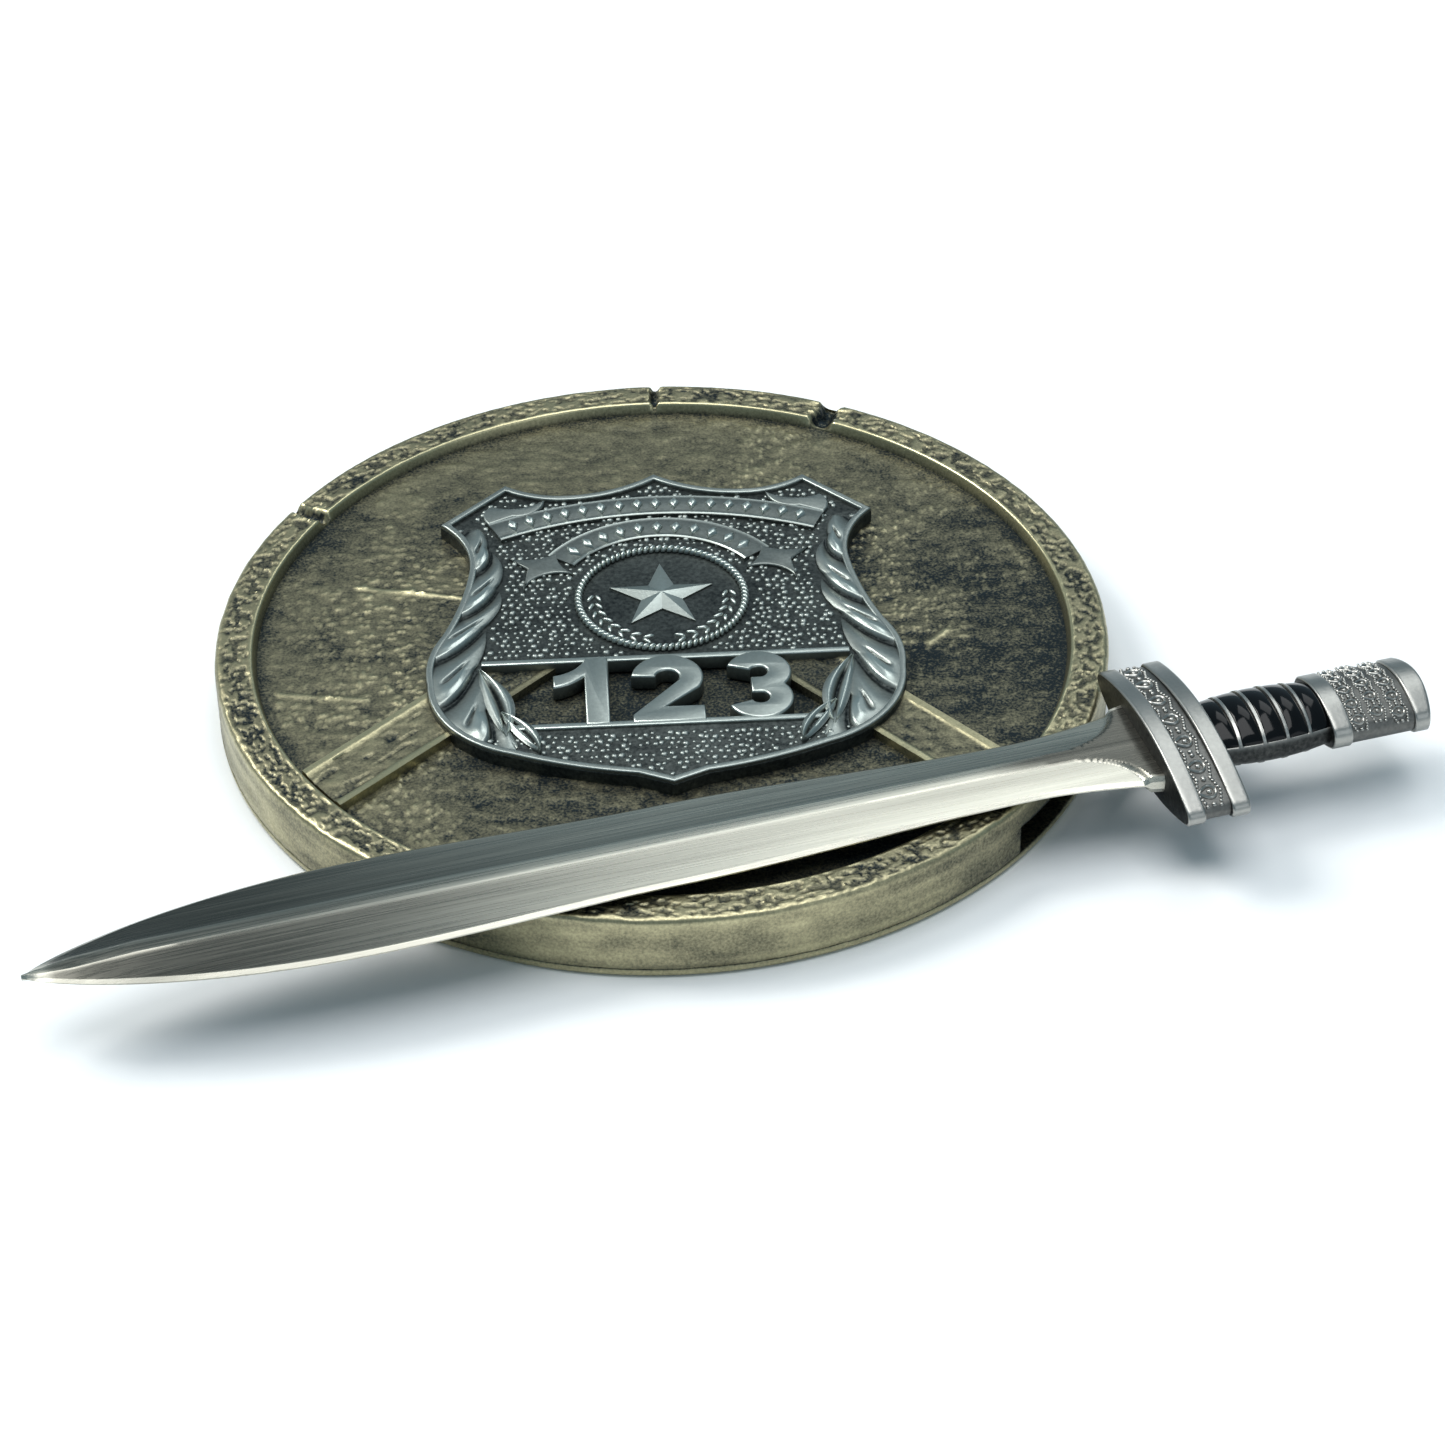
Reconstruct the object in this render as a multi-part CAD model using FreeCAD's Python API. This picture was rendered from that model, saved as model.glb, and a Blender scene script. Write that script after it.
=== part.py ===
import FreeCAD, Part
import math
import os

# Challenge coin with a loose miniature sword that lies across its rim.
# Millimetres, +Z up.  The origin is the centre of the coin's back face.

V = FreeCAD.Vector
UP = V(0, 0, 1)

# ---------------------------------------------------------------- coin
COIN_D = 63.5            # a two and a half inch coin
COIN_T = 5.0             # thickness at the rim
BACK_T = 0.75            # back plate
RIM_W = 2.95             # flat of the rim, with its inner bevel
RIM_BEVEL = 0.3
FIELD_DEPTH = 0.8        # rim top down to the sunk field
EDGE_ROUND = 0.5
BACK_SINK = 0.25         # sunk ring on the back
BACK_BOSS_D = 18.0       # flat centre boss of the back
STRAP_W = 4.7            # two raised straps, low on the field
STRAP_H = 0.7
STRAP_APEX_Y = 6.9       # where their centre lines would meet
STRAP_DROP = 46.3        # degrees below level
DOWEL_D = 2.0
DOWEL_L = 2.4
DOWEL_SEAT = 0.4         # depth in the back plate
DOWEL_REACH = 22.0       # from the coin's centre
NICKS = ((149.7, 1.5, 0.7), (91.2, 0.7, 0.5), (65.5, 2.5, 1.0))  # angle, width, depth

# ---------------------------------------------------------------- blade
BLADE_L = 76.6
BLADE_W = 9.5            # widest part, nearer the tip
BLADE_SHOULDER_W = 8.3   # half way along
BLADE_WAIST_W = 6.1
BLADE_ROOT_W = 8.4       # where it meets the guard
BELLY_SHARE = 0.30       # of the blade's length from the tip, at its widest
SHOULDER_SHARE = 0.56
WAIST_SHARE = 0.89
TIP_POWER = 0.78         # below 1 gives a blunter point
FLARE_POWER = 1.6
BLADE_T = 1.4            # over the middle strip
BLADE_EDGE_T = 0.75      # where the edge bevels start
BEVEL_W = 0.35
STRIP_W = 1.0            # flat middle strip
TANG_W = 3.2
TANG_T = 1.1
TANG_BITE = 3.0          # into the pommel block

# tunnel through the coin for the blade
TUNNEL_SIDE_CLEAR = 0.3
TUNNEL_TOP_CLEAR = 0.9
TUNNEL_TURN = -31.0      # degrees from +X
TUNNEL_W = BLADE_W + 2 * TUNNEL_SIDE_CLEAR
TUNNEL_H = BLADE_T + TUNNEL_TOP_CLEAR

# ---------------------------------------------------------------- hilt
GUARD_W = 16.9
GUARD_T = 4.5
GUARD_END_T = 0.9
GUARD_BAND_L = 1.3       # each smooth band, along the sword
GUARD_COLLAR_L = 1.9
COLLAR_SINK = 0.2        # collar below the bands
GRIP_L = 8.2
GRIP_W = 6.6
GRIP_T = 4.0
GRIP_END_SHARE = 0.86    # grip ends against its middle
ENAMEL_T = 0.4
RIB_COUNT = 4
RIB_L = 0.3
POMMEL_W = 7.1
POMMEL_T = 3.5
POMMEL_END_T = 1.2
POMMEL_COLLAR_L = 1.4
POMMEL_BODY_L = 4.6
POMMEL_CAP_L = 1.6
POMMEL_SINK = 0.15
CAP_CROWN = 0.5

# ---------------------------------------------------------------- shield badge
BADGE_TURN = 2.4         # degrees, badge against the straps
BADGE_X = 0.15
PLATE_T = 1.0
RELIEF_H = 0.4           # leaves and ribbons above the plate
TAIL_H = 0.25
RAIL_W = 0.65
RAIL_H = 0.3
RING_R = 6.3             # outside of the rope ring
RING_W = 0.6
RING_Y = 3.3
RING_H = 0.5
STAR_R = 4.5
STAR_WAIST_SHARE = 0.42
STAR_H = 0.5
RIBBON_H = 2.3           # height of both ribbons in plan
UPPER_RIBBON_R = 27.1
UPPER_RIBBON_Y = 13.6    # lower edge at the middle
UPPER_RIBBON_SPREAD = 25.0
LOWER_RIBBON_GAP = 1.4   # ring to ribbon
LOWER_RIBBON_SPREAD = 55.0
WINDOW_TOP_Y = -3.6
WINDOW_LOW_Y = -11.3
WINDOW_TOP_X = 12.9
WINDOW_LOW_X = 10.7
WINDOW_SIDE_BOW = 0.4    # how far its sides bow in at half height
WINDOW_RAIL_W = 0.5
DIGIT_STROKE = 1.5
DIGIT_W = 4.8
DIGIT_PITCH = 6.4
NUMBER_LIFT = 0.15       # underside above the field
NUMBER_PROUD = 0.3       # top above the plate
POST_D = 1.2
POST_DEPTH = 0.9
POST_PLACES = ((0.0, 15.5), (13.2, 4.0), (-14.0, -8.0), (0.0, -14.3))

# ---------------------------------------------------------------- where the sword lies
SWORD_TURN = 16.4        # degrees from +X
SWORD_OFFSET = 24.1      # coin centre to the sword's axis
REST_GAP = 0.05          # blade above the rim
GUARD_GAP = 0.1          # guard to the coin's rounded edge

COIN_R = COIN_D / 2
FIELD_R = COIN_R - RIM_W
FIELD_Z = COIN_T - FIELD_DEPTH
PLATE_Z = FIELD_Z + PLATE_T
SWORD_Z = COIN_T + REST_GAP + BLADE_T / 2
FAR = 4 * COIN_D         # longer than anything here
CUT_OVER = 0.1           # how far cutting tools stand past a face
DIGIT_H = WINDOW_TOP_Y - WINDOW_LOW_Y

# stations along the sword, from the tip
GUARD_COLLAR_S = BLADE_L + GUARD_BAND_L
GUARD_REAR_S = GUARD_COLLAR_S + GUARD_COLLAR_L
GRIP_S = GUARD_REAR_S + GUARD_BAND_L
POMMEL_S = GRIP_S + GRIP_L
POMMEL_BODY_S = POMMEL_S + POMMEL_COLLAR_L
POMMEL_CAP_S = POMMEL_BODY_S + POMMEL_BODY_L
TANG_L = POMMEL_BODY_S + TANG_BITE - BLADE_L

# The guard overhangs the coin's edge.  At this distance from the sword's axis its
# underside has risen to the height of the rim, and there it stands off the rounded edge.
GUARD_RISE = (GUARD_T / 2 - (SWORD_Z - COIN_T)) / (GUARD_T / 2 - GUARD_END_T / 2)
GUARD_TOUCH = GUARD_W / 2 * math.sqrt(min(max(GUARD_RISE, 0.0), 1.0))
GUARD_REACH = GUARD_GAP + math.sqrt(
    (COIN_R - EDGE_ROUND / 2) ** 2 - (SWORD_OFFSET - GUARD_TOUCH) ** 2)
TIP_REACH = BLADE_L - GUARD_REACH    # tip to the point of the axis nearest the coin's centre


# ---------------------------------------------------------------- helpers
def face_of(points):
    """Closed flat face at z=0.  A point written ("arc", x, y) is the middle of an arc."""
    edges = []
    place = V(points[0][0], points[0][1], 0)
    ring = list(points[1:]) + [points[0]]
    middle = None
    for item in ring:
        if item[0] == "arc":
            middle = V(item[1], item[2], 0)
            continue
        end = V(item[0], item[1], 0)
        if middle is None:
            edges.append(Part.LineSegment(place, end).toShape())
        else:
            edges.append(Part.Arc(place, middle, end).toShape())
        middle = None
        place = end
    return Part.Face(Part.Wire(edges))


def slab(face, low, high):
    """Extrude a flat face between two heights."""
    raised = face.copy()
    raised.translate(V(0, 0, low))
    return raised.extrude(V(0, 0, high - low))


def disc(radius, low, high, x=0.0, y=0.0):
    return Part.makeCylinder(radius, high - low, V(x, y, low))


def block(x0, x1, y0, y1, z0, z1):
    return Part.makeBox(x1 - x0, y1 - y0, z1 - z0, V(x0, y0, z0))


def turned(shape, degrees):
    shape.rotate(V(0, 0, 0), UP, degrees)
    return shape


def mirrored(shape):
    return shape.mirror(V(0, 0, 0), V(1, 0, 0))


def fuse_all(shapes):
    whole = shapes[0].multiFuse(shapes[1:]) if len(shapes) > 1 else shapes[0]
    return whole.removeSplitter()


def at_badge(shape):
    """Put a shape made about the badge's own centre where the badge sits."""
    turned(shape, BADGE_TURN)
    shape.translate(V(BADGE_X, 0, 0))
    return shape


def from_badge(shape):
    """The other way: bring a shape in the coin's place to the badge's own centre."""
    shape.translate(V(-BADGE_X, 0, 0))
    return turned(shape, -BADGE_TURN)


def at_sword(shape):
    """Put a shape made along the sword's own axis (tip at 0, hilt at +X) on the coin."""
    turn = math.radians(SWORD_TURN)
    turned(shape, SWORD_TURN)
    foot = V(SWORD_OFFSET * math.sin(turn), -SWORD_OFFSET * math.cos(turn), 0)
    tip = foot - V(math.cos(turn), math.sin(turn), 0) * TIP_REACH
    shape.translate(tip + V(0, 0, SWORD_Z))
    return shape


def sector(inner, outer, start, end, low, high):
    """Part of a flat ring about the origin, between two angles in degrees."""
    def spot(radius, angle):
        return (radius * math.cos(math.radians(angle)), radius * math.sin(math.radians(angle)))
    middle = (start + end) / 2
    face = face_of([
        spot(outer, start), ("arc",) + spot(outer, middle), spot(outer, end),
        spot(inner, end), ("arc",) + spot(inner, middle), spot(inner, start),
    ])
    return slab(face, low, high)


# ---------------------------------------------------------------- coin
def straps(top):
    """The two raised straps as bars that run from the middle out past the rim."""
    bars = []
    for heading in (-STRAP_DROP, 180 + STRAP_DROP):
        bar = block(0, FAR, -STRAP_W / 2, STRAP_W / 2, FIELD_Z - CUT_OVER, top)
        turned(bar, heading)
        bar.translate(V(0, STRAP_APEX_Y, 0))
        bars.append(bar)
    return fuse_all(bars).common(disc(FIELD_R, FIELD_Z - CUT_OVER, top))


def tunnel():
    channel = block(-FAR / 2, FAR / 2, -TUNNEL_W / 2, TUNNEL_W / 2, 0, BACK_T + TUNNEL_H)
    return turned(channel, TUNNEL_TURN)


def coin_dowels():
    pegs = []
    low = BACK_T - DOWEL_SEAT
    for side in (90, -90):
        angle = math.radians(TUNNEL_TURN + side)
        x = DOWEL_REACH * math.cos(angle)
        y = DOWEL_REACH * math.sin(angle)
        pegs.append(disc(DOWEL_D / 2, low, low + DOWEL_L, x, y))
    return Part.makeCompound(pegs)


def badge_posts():
    pegs = []
    for x, y in POST_PLACES:
        pegs.append(disc(POST_D / 2, FIELD_Z - POST_DEPTH, FIELD_Z, x, y))
    return at_badge(Part.makeCompound(pegs))


def nick(angle, width, depth):
    """A wedge-shaped dent across the rim."""
    wedge = Part.Face(Part.makePolygon([
        V(FIELD_R - 1, 0, COIN_T - depth), V(FIELD_R - 1, width / 2, COIN_T + CUT_OVER),
        V(FIELD_R - 1, -width / 2, COIN_T + CUT_OVER), V(FIELD_R - 1, 0, COIN_T - depth),
    ]))
    return turned(wedge.extrude(V(RIM_W + 2, 0, 0)), angle)


def coin_front():
    corner = EDGE_ROUND * (1 - math.sqrt(0.5))
    profile = Part.Face(Part.Wire([
        Part.LineSegment(V(0, 0, BACK_T), V(COIN_R, 0, BACK_T)).toShape(),
        Part.LineSegment(V(COIN_R, 0, BACK_T), V(COIN_R, 0, COIN_T - EDGE_ROUND)).toShape(),
        Part.Arc(V(COIN_R, 0, COIN_T - EDGE_ROUND), V(COIN_R - corner, 0, COIN_T - corner),
                 V(COIN_R - EDGE_ROUND, 0, COIN_T)).toShape(),
        Part.LineSegment(V(COIN_R - EDGE_ROUND, 0, COIN_T),
                         V(FIELD_R + RIM_BEVEL, 0, COIN_T)).toShape(),
        Part.LineSegment(V(FIELD_R + RIM_BEVEL, 0, COIN_T), V(FIELD_R, 0, FIELD_Z)).toShape(),
        Part.LineSegment(V(FIELD_R, 0, FIELD_Z), V(0, 0, FIELD_Z)).toShape(),
        Part.LineSegment(V(0, 0, FIELD_Z), V(0, 0, BACK_T)).toShape(),
    ]))
    shell = profile.revolve(V(0, 0, 0), UP, 360)
    shell = shell.fuse(straps(FIELD_Z + STRAP_H))
    cuts = [tunnel(), coin_dowels(), badge_posts()]
    for angle, width, depth in NICKS:
        cuts.append(nick(angle, width, depth))
    return shell.cut(cuts).removeSplitter()


def coin_back():
    corner = EDGE_ROUND * (1 - math.sqrt(0.5))
    profile = Part.Face(Part.Wire([
        Part.LineSegment(V(0, 0, BACK_T), V(COIN_R, 0, BACK_T)).toShape(),
        Part.LineSegment(V(COIN_R, 0, BACK_T), V(COIN_R, 0, EDGE_ROUND)).toShape(),
        Part.Arc(V(COIN_R, 0, EDGE_ROUND), V(COIN_R - corner, 0, corner),
                 V(COIN_R - EDGE_ROUND, 0, 0)).toShape(),
        Part.LineSegment(V(COIN_R - EDGE_ROUND, 0, 0), V(0, 0, 0)).toShape(),
        Part.LineSegment(V(0, 0, 0), V(0, 0, BACK_T)).toShape(),
    ]))
    plate = profile.revolve(V(0, 0, 0), UP, 360)
    sunk = disc(FIELD_R, -CUT_OVER, BACK_SINK).cut(disc(BACK_BOSS_D / 2, -CUT_OVER, BACK_SINK))
    return plate.cut([sunk, coin_dowels()])


# ---------------------------------------------------------------- shield badge
def shield_face():
    """Shield with a three-peaked top, ears, a waist and a rounded belly."""
    right = [
        (0.0, 18.85), ("arc", 4.2, 16.8), (7.0, 16.5), ("arc", 9.2, 17.0), (11.1, 18.1),
        (15.9, 13.3), ("arc", 14.2, 10.6), (13.8, 7.6), ("arc", 14.6, 3.2), (15.8, -0.4),
        ("arc", 16.9, -4.4), (16.8, -6.0), ("arc", 15.5, -10.6), (10.9, -14.2),
        ("arc", 5.6, -16.1), (2.4, -16.8), (0.0, -17.9),
    ]
    left = []
    for item in reversed(right[1:-1]):
        left.append(("arc", -item[1], item[2]) if item[0] == "arc" else (-item[0], item[1]))
    return face_of(right + left)


def window_face():
    return face_of([
        (WINDOW_TOP_X, WINDOW_TOP_Y), (-WINDOW_TOP_X, WINDOW_TOP_Y),
        ("arc", -WINDOW_TOP_X + WINDOW_SIDE_BOW, (WINDOW_TOP_Y + WINDOW_LOW_Y) / 2),
        (-WINDOW_LOW_X, WINDOW_LOW_Y), (WINDOW_LOW_X, WINDOW_LOW_Y),
        ("arc", WINDOW_TOP_X - WINDOW_SIDE_BOW, (WINDOW_TOP_Y + WINDOW_LOW_Y) / 2),
    ])


def leaf_border_right():
    """Side moulding: the band of the shield outside a long inner curve."""
    inner = face_of([
        (12.7, 12.2), ("arc", 11.6, 7.4), (12.2, 1.6),
        ("arc", 13.1, -3.0), (12.6, -7.2), ("arc", 11.3, -10.6), (9.8, -13.0),
        (9.8, -20.0), (20.0, -20.0), (20.0, 12.2),
    ])
    return slab(inner.common(shield_face()), PLATE_Z, PLATE_Z + RELIEF_H)


def badge_plate():
    plate = slab(shield_face(), FIELD_Z, PLATE_Z)
    sides = [leaf_border_right(), mirrored(leaf_border_right())]
    inner = shield_face().makeOffset2D(-RAIL_W)
    rail = slab(shield_face().cut(inner), PLATE_Z, PLATE_Z + RAIL_H).cut(sides)
    plate = plate.fuse(rail)
    plate = plate.cut(slab(window_face(), FIELD_Z - CUT_OVER, PLATE_Z + CUT_OVER))
    return plate.cut(from_badge(straps(FIELD_Z + STRAP_H))).removeSplitter()


def rope_ring():
    top = PLATE_Z + RING_H
    ring = disc(RING_R, PLATE_Z, top).cut(disc(RING_R - RING_W, PLATE_Z, top))
    ring.translate(V(0, RING_Y, 0))
    return ring


def centre_star():
    """Five-pointed star whose faces rise to a point at its middle."""
    rim = []
    for step in range(10):
        radius = STAR_R if step % 2 == 0 else STAR_R * STAR_WAIST_SHARE
        angle = math.radians(90 + 36 * step)
        rim.append(V(radius * math.cos(angle), radius * math.sin(angle), 0))
    peak = V(0, 0, STAR_H)
    faces = [Part.Face(Part.makePolygon(rim + [rim[0]]))]
    for step in range(10):
        near = rim[step]
        far = rim[(step + 1) % 10]
        faces.append(Part.Face(Part.makePolygon([near, far, peak, near])))
    star = Part.Solid(Part.Shell(faces))
    if star.Volume < 0:
        star.reverse()
    star.translate(V(0, RING_Y, PLATE_Z))
    return star


def ribbon_upper():
    centre_y = UPPER_RIBBON_Y - UPPER_RIBBON_R
    band = sector(UPPER_RIBBON_R, UPPER_RIBBON_R + RIBBON_H, 90 - UPPER_RIBBON_SPREAD,
                  90 + UPPER_RIBBON_SPREAD, PLATE_Z, PLATE_Z + RELIEF_H)
    band.translate(V(0, centre_y, 0))
    return band


def ribbon_lower():
    """Band round the top of the ring, with a swallow tail at each end."""
    inner = RING_R + LOWER_RIBBON_GAP
    band = sector(inner, inner + RIBBON_H, 90 - LOWER_RIBBON_SPREAD,
                  90 + LOWER_RIBBON_SPREAD, PLATE_Z, PLATE_Z + TAIL_H)
    tail = slab(face_of([
        (6.9, 3.7), (7.6, 5.9), (10.9, 5.3), (9.5, 3.9), (9.8, 1.4), (8.1, 3.2),
    ]), PLATE_Z, PLATE_Z + TAIL_H)
    whole = fuse_all([band, tail, mirrored(tail)])
    whole.translate(V(0, RING_Y, 0))
    return whole.cut([ribbon_upper(), rope_ring()])


def digit_one(low, high):
    stem = block(0.6, 0.6 + DIGIT_STROKE, 0, DIGIT_H, low, high)
    flag = slab(face_of([
        (0.7, DIGIT_H), (-1.6, DIGIT_H - 1.9), (-1.6, DIGIT_H - 3.3), (0.7, DIGIT_H - 2.1),
    ]), low, high)
    return fuse_all([stem, flag])


def digit_two(low, high):
    radius = DIGIT_W / 2
    bowl = sector(radius - DIGIT_STROKE, radius, -25, 175, low, high)
    bowl.translate(V(0, DIGIT_H - radius, 0))
    base = block(-radius, radius, 0, DIGIT_STROKE, low, high)
    slant = slab(face_of([
        (-radius, 0.2), (-radius + 2.1, 0.2), (radius - 0.15, DIGIT_H - radius - 0.9),
        (radius - 1.7, DIGIT_H - radius - 0.2),
    ]), low, high)
    return fuse_all([bowl, base, slant])


def digit_three(low, high):
    radius = (DIGIT_H + DIGIT_STROKE) / 4
    upper = sector(radius - DIGIT_STROKE, radius, -92, 165, low, high)
    upper.translate(V(0, DIGIT_H - radius, 0))
    lower = sector(radius - DIGIT_STROKE, radius, -165, 92, low, high)
    lower.translate(V(0, radius, 0))
    return fuse_all([upper, lower])


def badge_number():
    """Two rails with three digits bridging them."""
    low = FIELD_Z + NUMBER_LIFT
    high = PLATE_Z + NUMBER_PROUD
    parts = []
    for column, digit in enumerate((digit_one, digit_two, digit_three)):
        solid = digit(low, high)
        solid.translate(V((column - 1) * DIGIT_PITCH, WINDOW_LOW_Y, 0))
        parts.append(solid)
    for bottom in (WINDOW_LOW_Y, WINDOW_TOP_Y - WINDOW_RAIL_W):
        parts.append(block(-WINDOW_TOP_X, WINDOW_TOP_X, bottom, bottom + WINDOW_RAIL_W, low, high))
    whole = fuse_all(parts).common(slab(window_face(), low, high))
    return whole.cut(from_badge(straps(FIELD_Z + STRAP_H)))


# ---------------------------------------------------------------- sword
def eased(start, end, part):
    """From start to end along a half cosine wave."""
    return start + (end - start) * (1 - math.cos(math.pi * part)) / 2


def blade_width(s):
    """Leaf outline: pointed arch, long belly, waist, and a flare at the guard."""
    belly_s = BELLY_SHARE * BLADE_L
    shoulder_s = SHOULDER_SHARE * BLADE_L
    waist_s = WAIST_SHARE * BLADE_L
    if s <= belly_s:
        return BLADE_W * (1 - (1 - s / belly_s) ** 2) ** TIP_POWER
    if s <= shoulder_s:
        return eased(BLADE_W, BLADE_SHOULDER_W, (s - belly_s) / (shoulder_s - belly_s))
    if s <= waist_s:
        return eased(BLADE_SHOULDER_W, BLADE_WAIST_W, (s - shoulder_s) / (waist_s - shoulder_s))
    flare = ((s - waist_s) / (BLADE_L - waist_s)) ** FLARE_POWER
    return BLADE_WAIST_W + (BLADE_ROOT_W - BLADE_WAIST_W) * flare


def blade_section(s):
    """Flat middle strip, a facet each side, and a bevel down to each edge."""
    half = max(blade_width(s) / 2, 0.25)
    thin = min(1.0, 0.3 + s / (0.14 * BLADE_L))
    flat = min(STRIP_W / 2, 0.3 * half)
    bevel = min(BEVEL_W, 0.3 * half)
    shoulder = BLADE_EDGE_T / 2 * thin
    crown = BLADE_T / 2 * thin
    top = [(-half, 0), (-half + bevel, shoulder), (-flat, crown),
           (flat, crown), (half - bevel, shoulder), (half, 0)]
    under = [(y, -z) for y, z in reversed(top[1:-1])]
    return Part.makePolygon([V(s, y, z) for y, z in top + under + top[:1]])


def tang():
    """The bar behind the blade that the whole hilt is threaded on."""
    return block(BLADE_L, BLADE_L + TANG_L, -TANG_W / 2, TANG_W / 2, -TANG_T / 2, TANG_T / 2)


def blade():
    # closer together at the point and the flare, where the outline turns fastest
    shares = (0.0, 0.015, 0.04, 0.08, 0.13, 0.19, 0.25, BELLY_SHARE, 0.38, 0.47, SHOULDER_SHARE,
              0.64, 0.72, 0.80, WAIST_SHARE, 0.93, 0.965, 1.0)
    sections = [blade_section(share * BLADE_L) for share in shares]
    return Part.makeLoft(sections, True, True).fuse(tang()).removeSplitter()


def lens(start, length, width, middle_t, end_t):
    """A pointed-oval bar along the sword, blunt at both ends of its width."""
    half = width / 2
    edges = [
        Part.Arc(V(start, -half, end_t / 2), V(start, 0, middle_t / 2),
                 V(start, half, end_t / 2)).toShape(),
        Part.LineSegment(V(start, half, end_t / 2), V(start, half, -end_t / 2)).toShape(),
        Part.Arc(V(start, half, -end_t / 2), V(start, 0, -middle_t / 2),
                 V(start, -half, -end_t / 2)).toShape(),
        Part.LineSegment(V(start, -half, -end_t / 2), V(start, -half, end_t / 2)).toShape(),
    ]
    return Part.Face(Part.Wire(edges)).extrude(V(length, 0, 0))


def guard_band(start):
    return lens(start, GUARD_BAND_L, GUARD_W, GUARD_T, GUARD_END_T).cut(tang())


def guard_front():
    return guard_band(BLADE_L)


def guard_rear():
    return guard_band(GUARD_REAR_S)


def guard_collar():
    bar = lens(GUARD_COLLAR_S, GUARD_COLLAR_L, GUARD_W - 2 * COLLAR_SINK,
               GUARD_T - 2 * COLLAR_SINK, GUARD_END_T)
    return bar.cut(tang())


def grip_barrel(sink):
    """Oval grip that swells in the middle, taken in all round by sink."""
    rings = []
    for share, along in ((GRIP_END_SHARE, 0.0), (1.0, 0.5), (GRIP_END_SHARE, 1.0)):
        long_r = GRIP_W / 2 * share - sink
        short_r = GRIP_T / 2 * share - sink
        oval = Part.Ellipse(V(0, 0, 0), long_r, short_r).toShape()
        oval.rotate(V(0, 0, 0), V(0, 1, 0), 90)
        oval.rotate(V(0, 0, 0), V(1, 0, 0), 90)
        oval.translate(V(GRIP_S + along * GRIP_L, 0, 0))
        rings.append(Part.Wire([oval]))
    return Part.makeLoft(rings, True, False)


def rib_slabs():
    """Thin slices across the grip where its metal ribs stand."""
    cell_l = (GRIP_L - RIB_COUNT * RIB_L) / (RIB_COUNT + 1)
    slices = []
    for number in range(RIB_COUNT):
        start = GRIP_S + cell_l * (number + 1) + RIB_L * number
        slices.append(block(start, start + RIB_L, -GRIP_W, GRIP_W, -GRIP_T, GRIP_T))
    return slices


def grip_core():
    ribs = grip_barrel(0).common(Part.makeCompound(rib_slabs()))
    return grip_barrel(ENAMEL_T).fuse(ribs).cut(tang())


def grip_enamel():
    return grip_barrel(0).cut(grip_barrel(ENAMEL_T)).cut(rib_slabs())


def pommel_piece(start, length, sink):
    return lens(start, length, POMMEL_W - 2 * sink, POMMEL_T - 2 * sink,
                POMMEL_END_T - 2 * sink).cut(tang())


def pommel_collar():
    return pommel_piece(POMMEL_S, POMMEL_COLLAR_L, 0)


def pommel_body():
    return pommel_piece(POMMEL_BODY_S, POMMEL_BODY_L, POMMEL_SINK)


def pommel_cap():
    """End band with a gently crowned end."""
    end = POMMEL_CAP_S + POMMEL_CAP_L
    half = POMMEL_W / 2
    plan = Part.Face(Part.Wire([
        Part.LineSegment(V(POMMEL_CAP_S, -half, 0), V(end - CAP_CROWN, -half, 0)).toShape(),
        Part.Arc(V(end - CAP_CROWN, -half, 0), V(end, 0, 0),
                 V(end - CAP_CROWN, half, 0)).toShape(),
        Part.LineSegment(V(end - CAP_CROWN, half, 0), V(POMMEL_CAP_S, half, 0)).toShape(),
        Part.LineSegment(V(POMMEL_CAP_S, half, 0), V(POMMEL_CAP_S, -half, 0)).toShape(),
    ]))
    bar = pommel_piece(POMMEL_CAP_S, POMMEL_CAP_L, 0)
    return bar.common(slab(plan, -POMMEL_T, POMMEL_T))


# ---------------------------------------------------------------- write the pieces
def leaf_border_left():
    return mirrored(leaf_border_right())


def in_place(shape):
    return shape


ASSEMBLY = (
    (in_place, (coin_front, coin_back, coin_dowels, badge_posts)),
    (at_badge, (badge_plate, badge_number, leaf_border_right, leaf_border_left,
                rope_ring, centre_star, ribbon_upper, ribbon_lower)),
    (at_sword, (blade, guard_front, guard_collar, guard_rear, grip_core, grip_enamel,
                pommel_collar, pommel_body, pommel_cap)),
)

os.makedirs("parts", exist_ok=True)
for put, pieces in ASSEMBLY:
    for piece in pieces:
        name = piece.__name__
        shape = put(piece())
        shape.exportStep("parts/" + name + ".step")
        print(name, "solids", len(shape.Solids), "valid", shape.isValid(),
              "volume", round(shape.Volume, 2))
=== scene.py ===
import math

import bmesh
import bpy
import numpy as np
from mathutils import Matrix, Vector
from mathutils.geometry import tessellate_polygon


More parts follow.
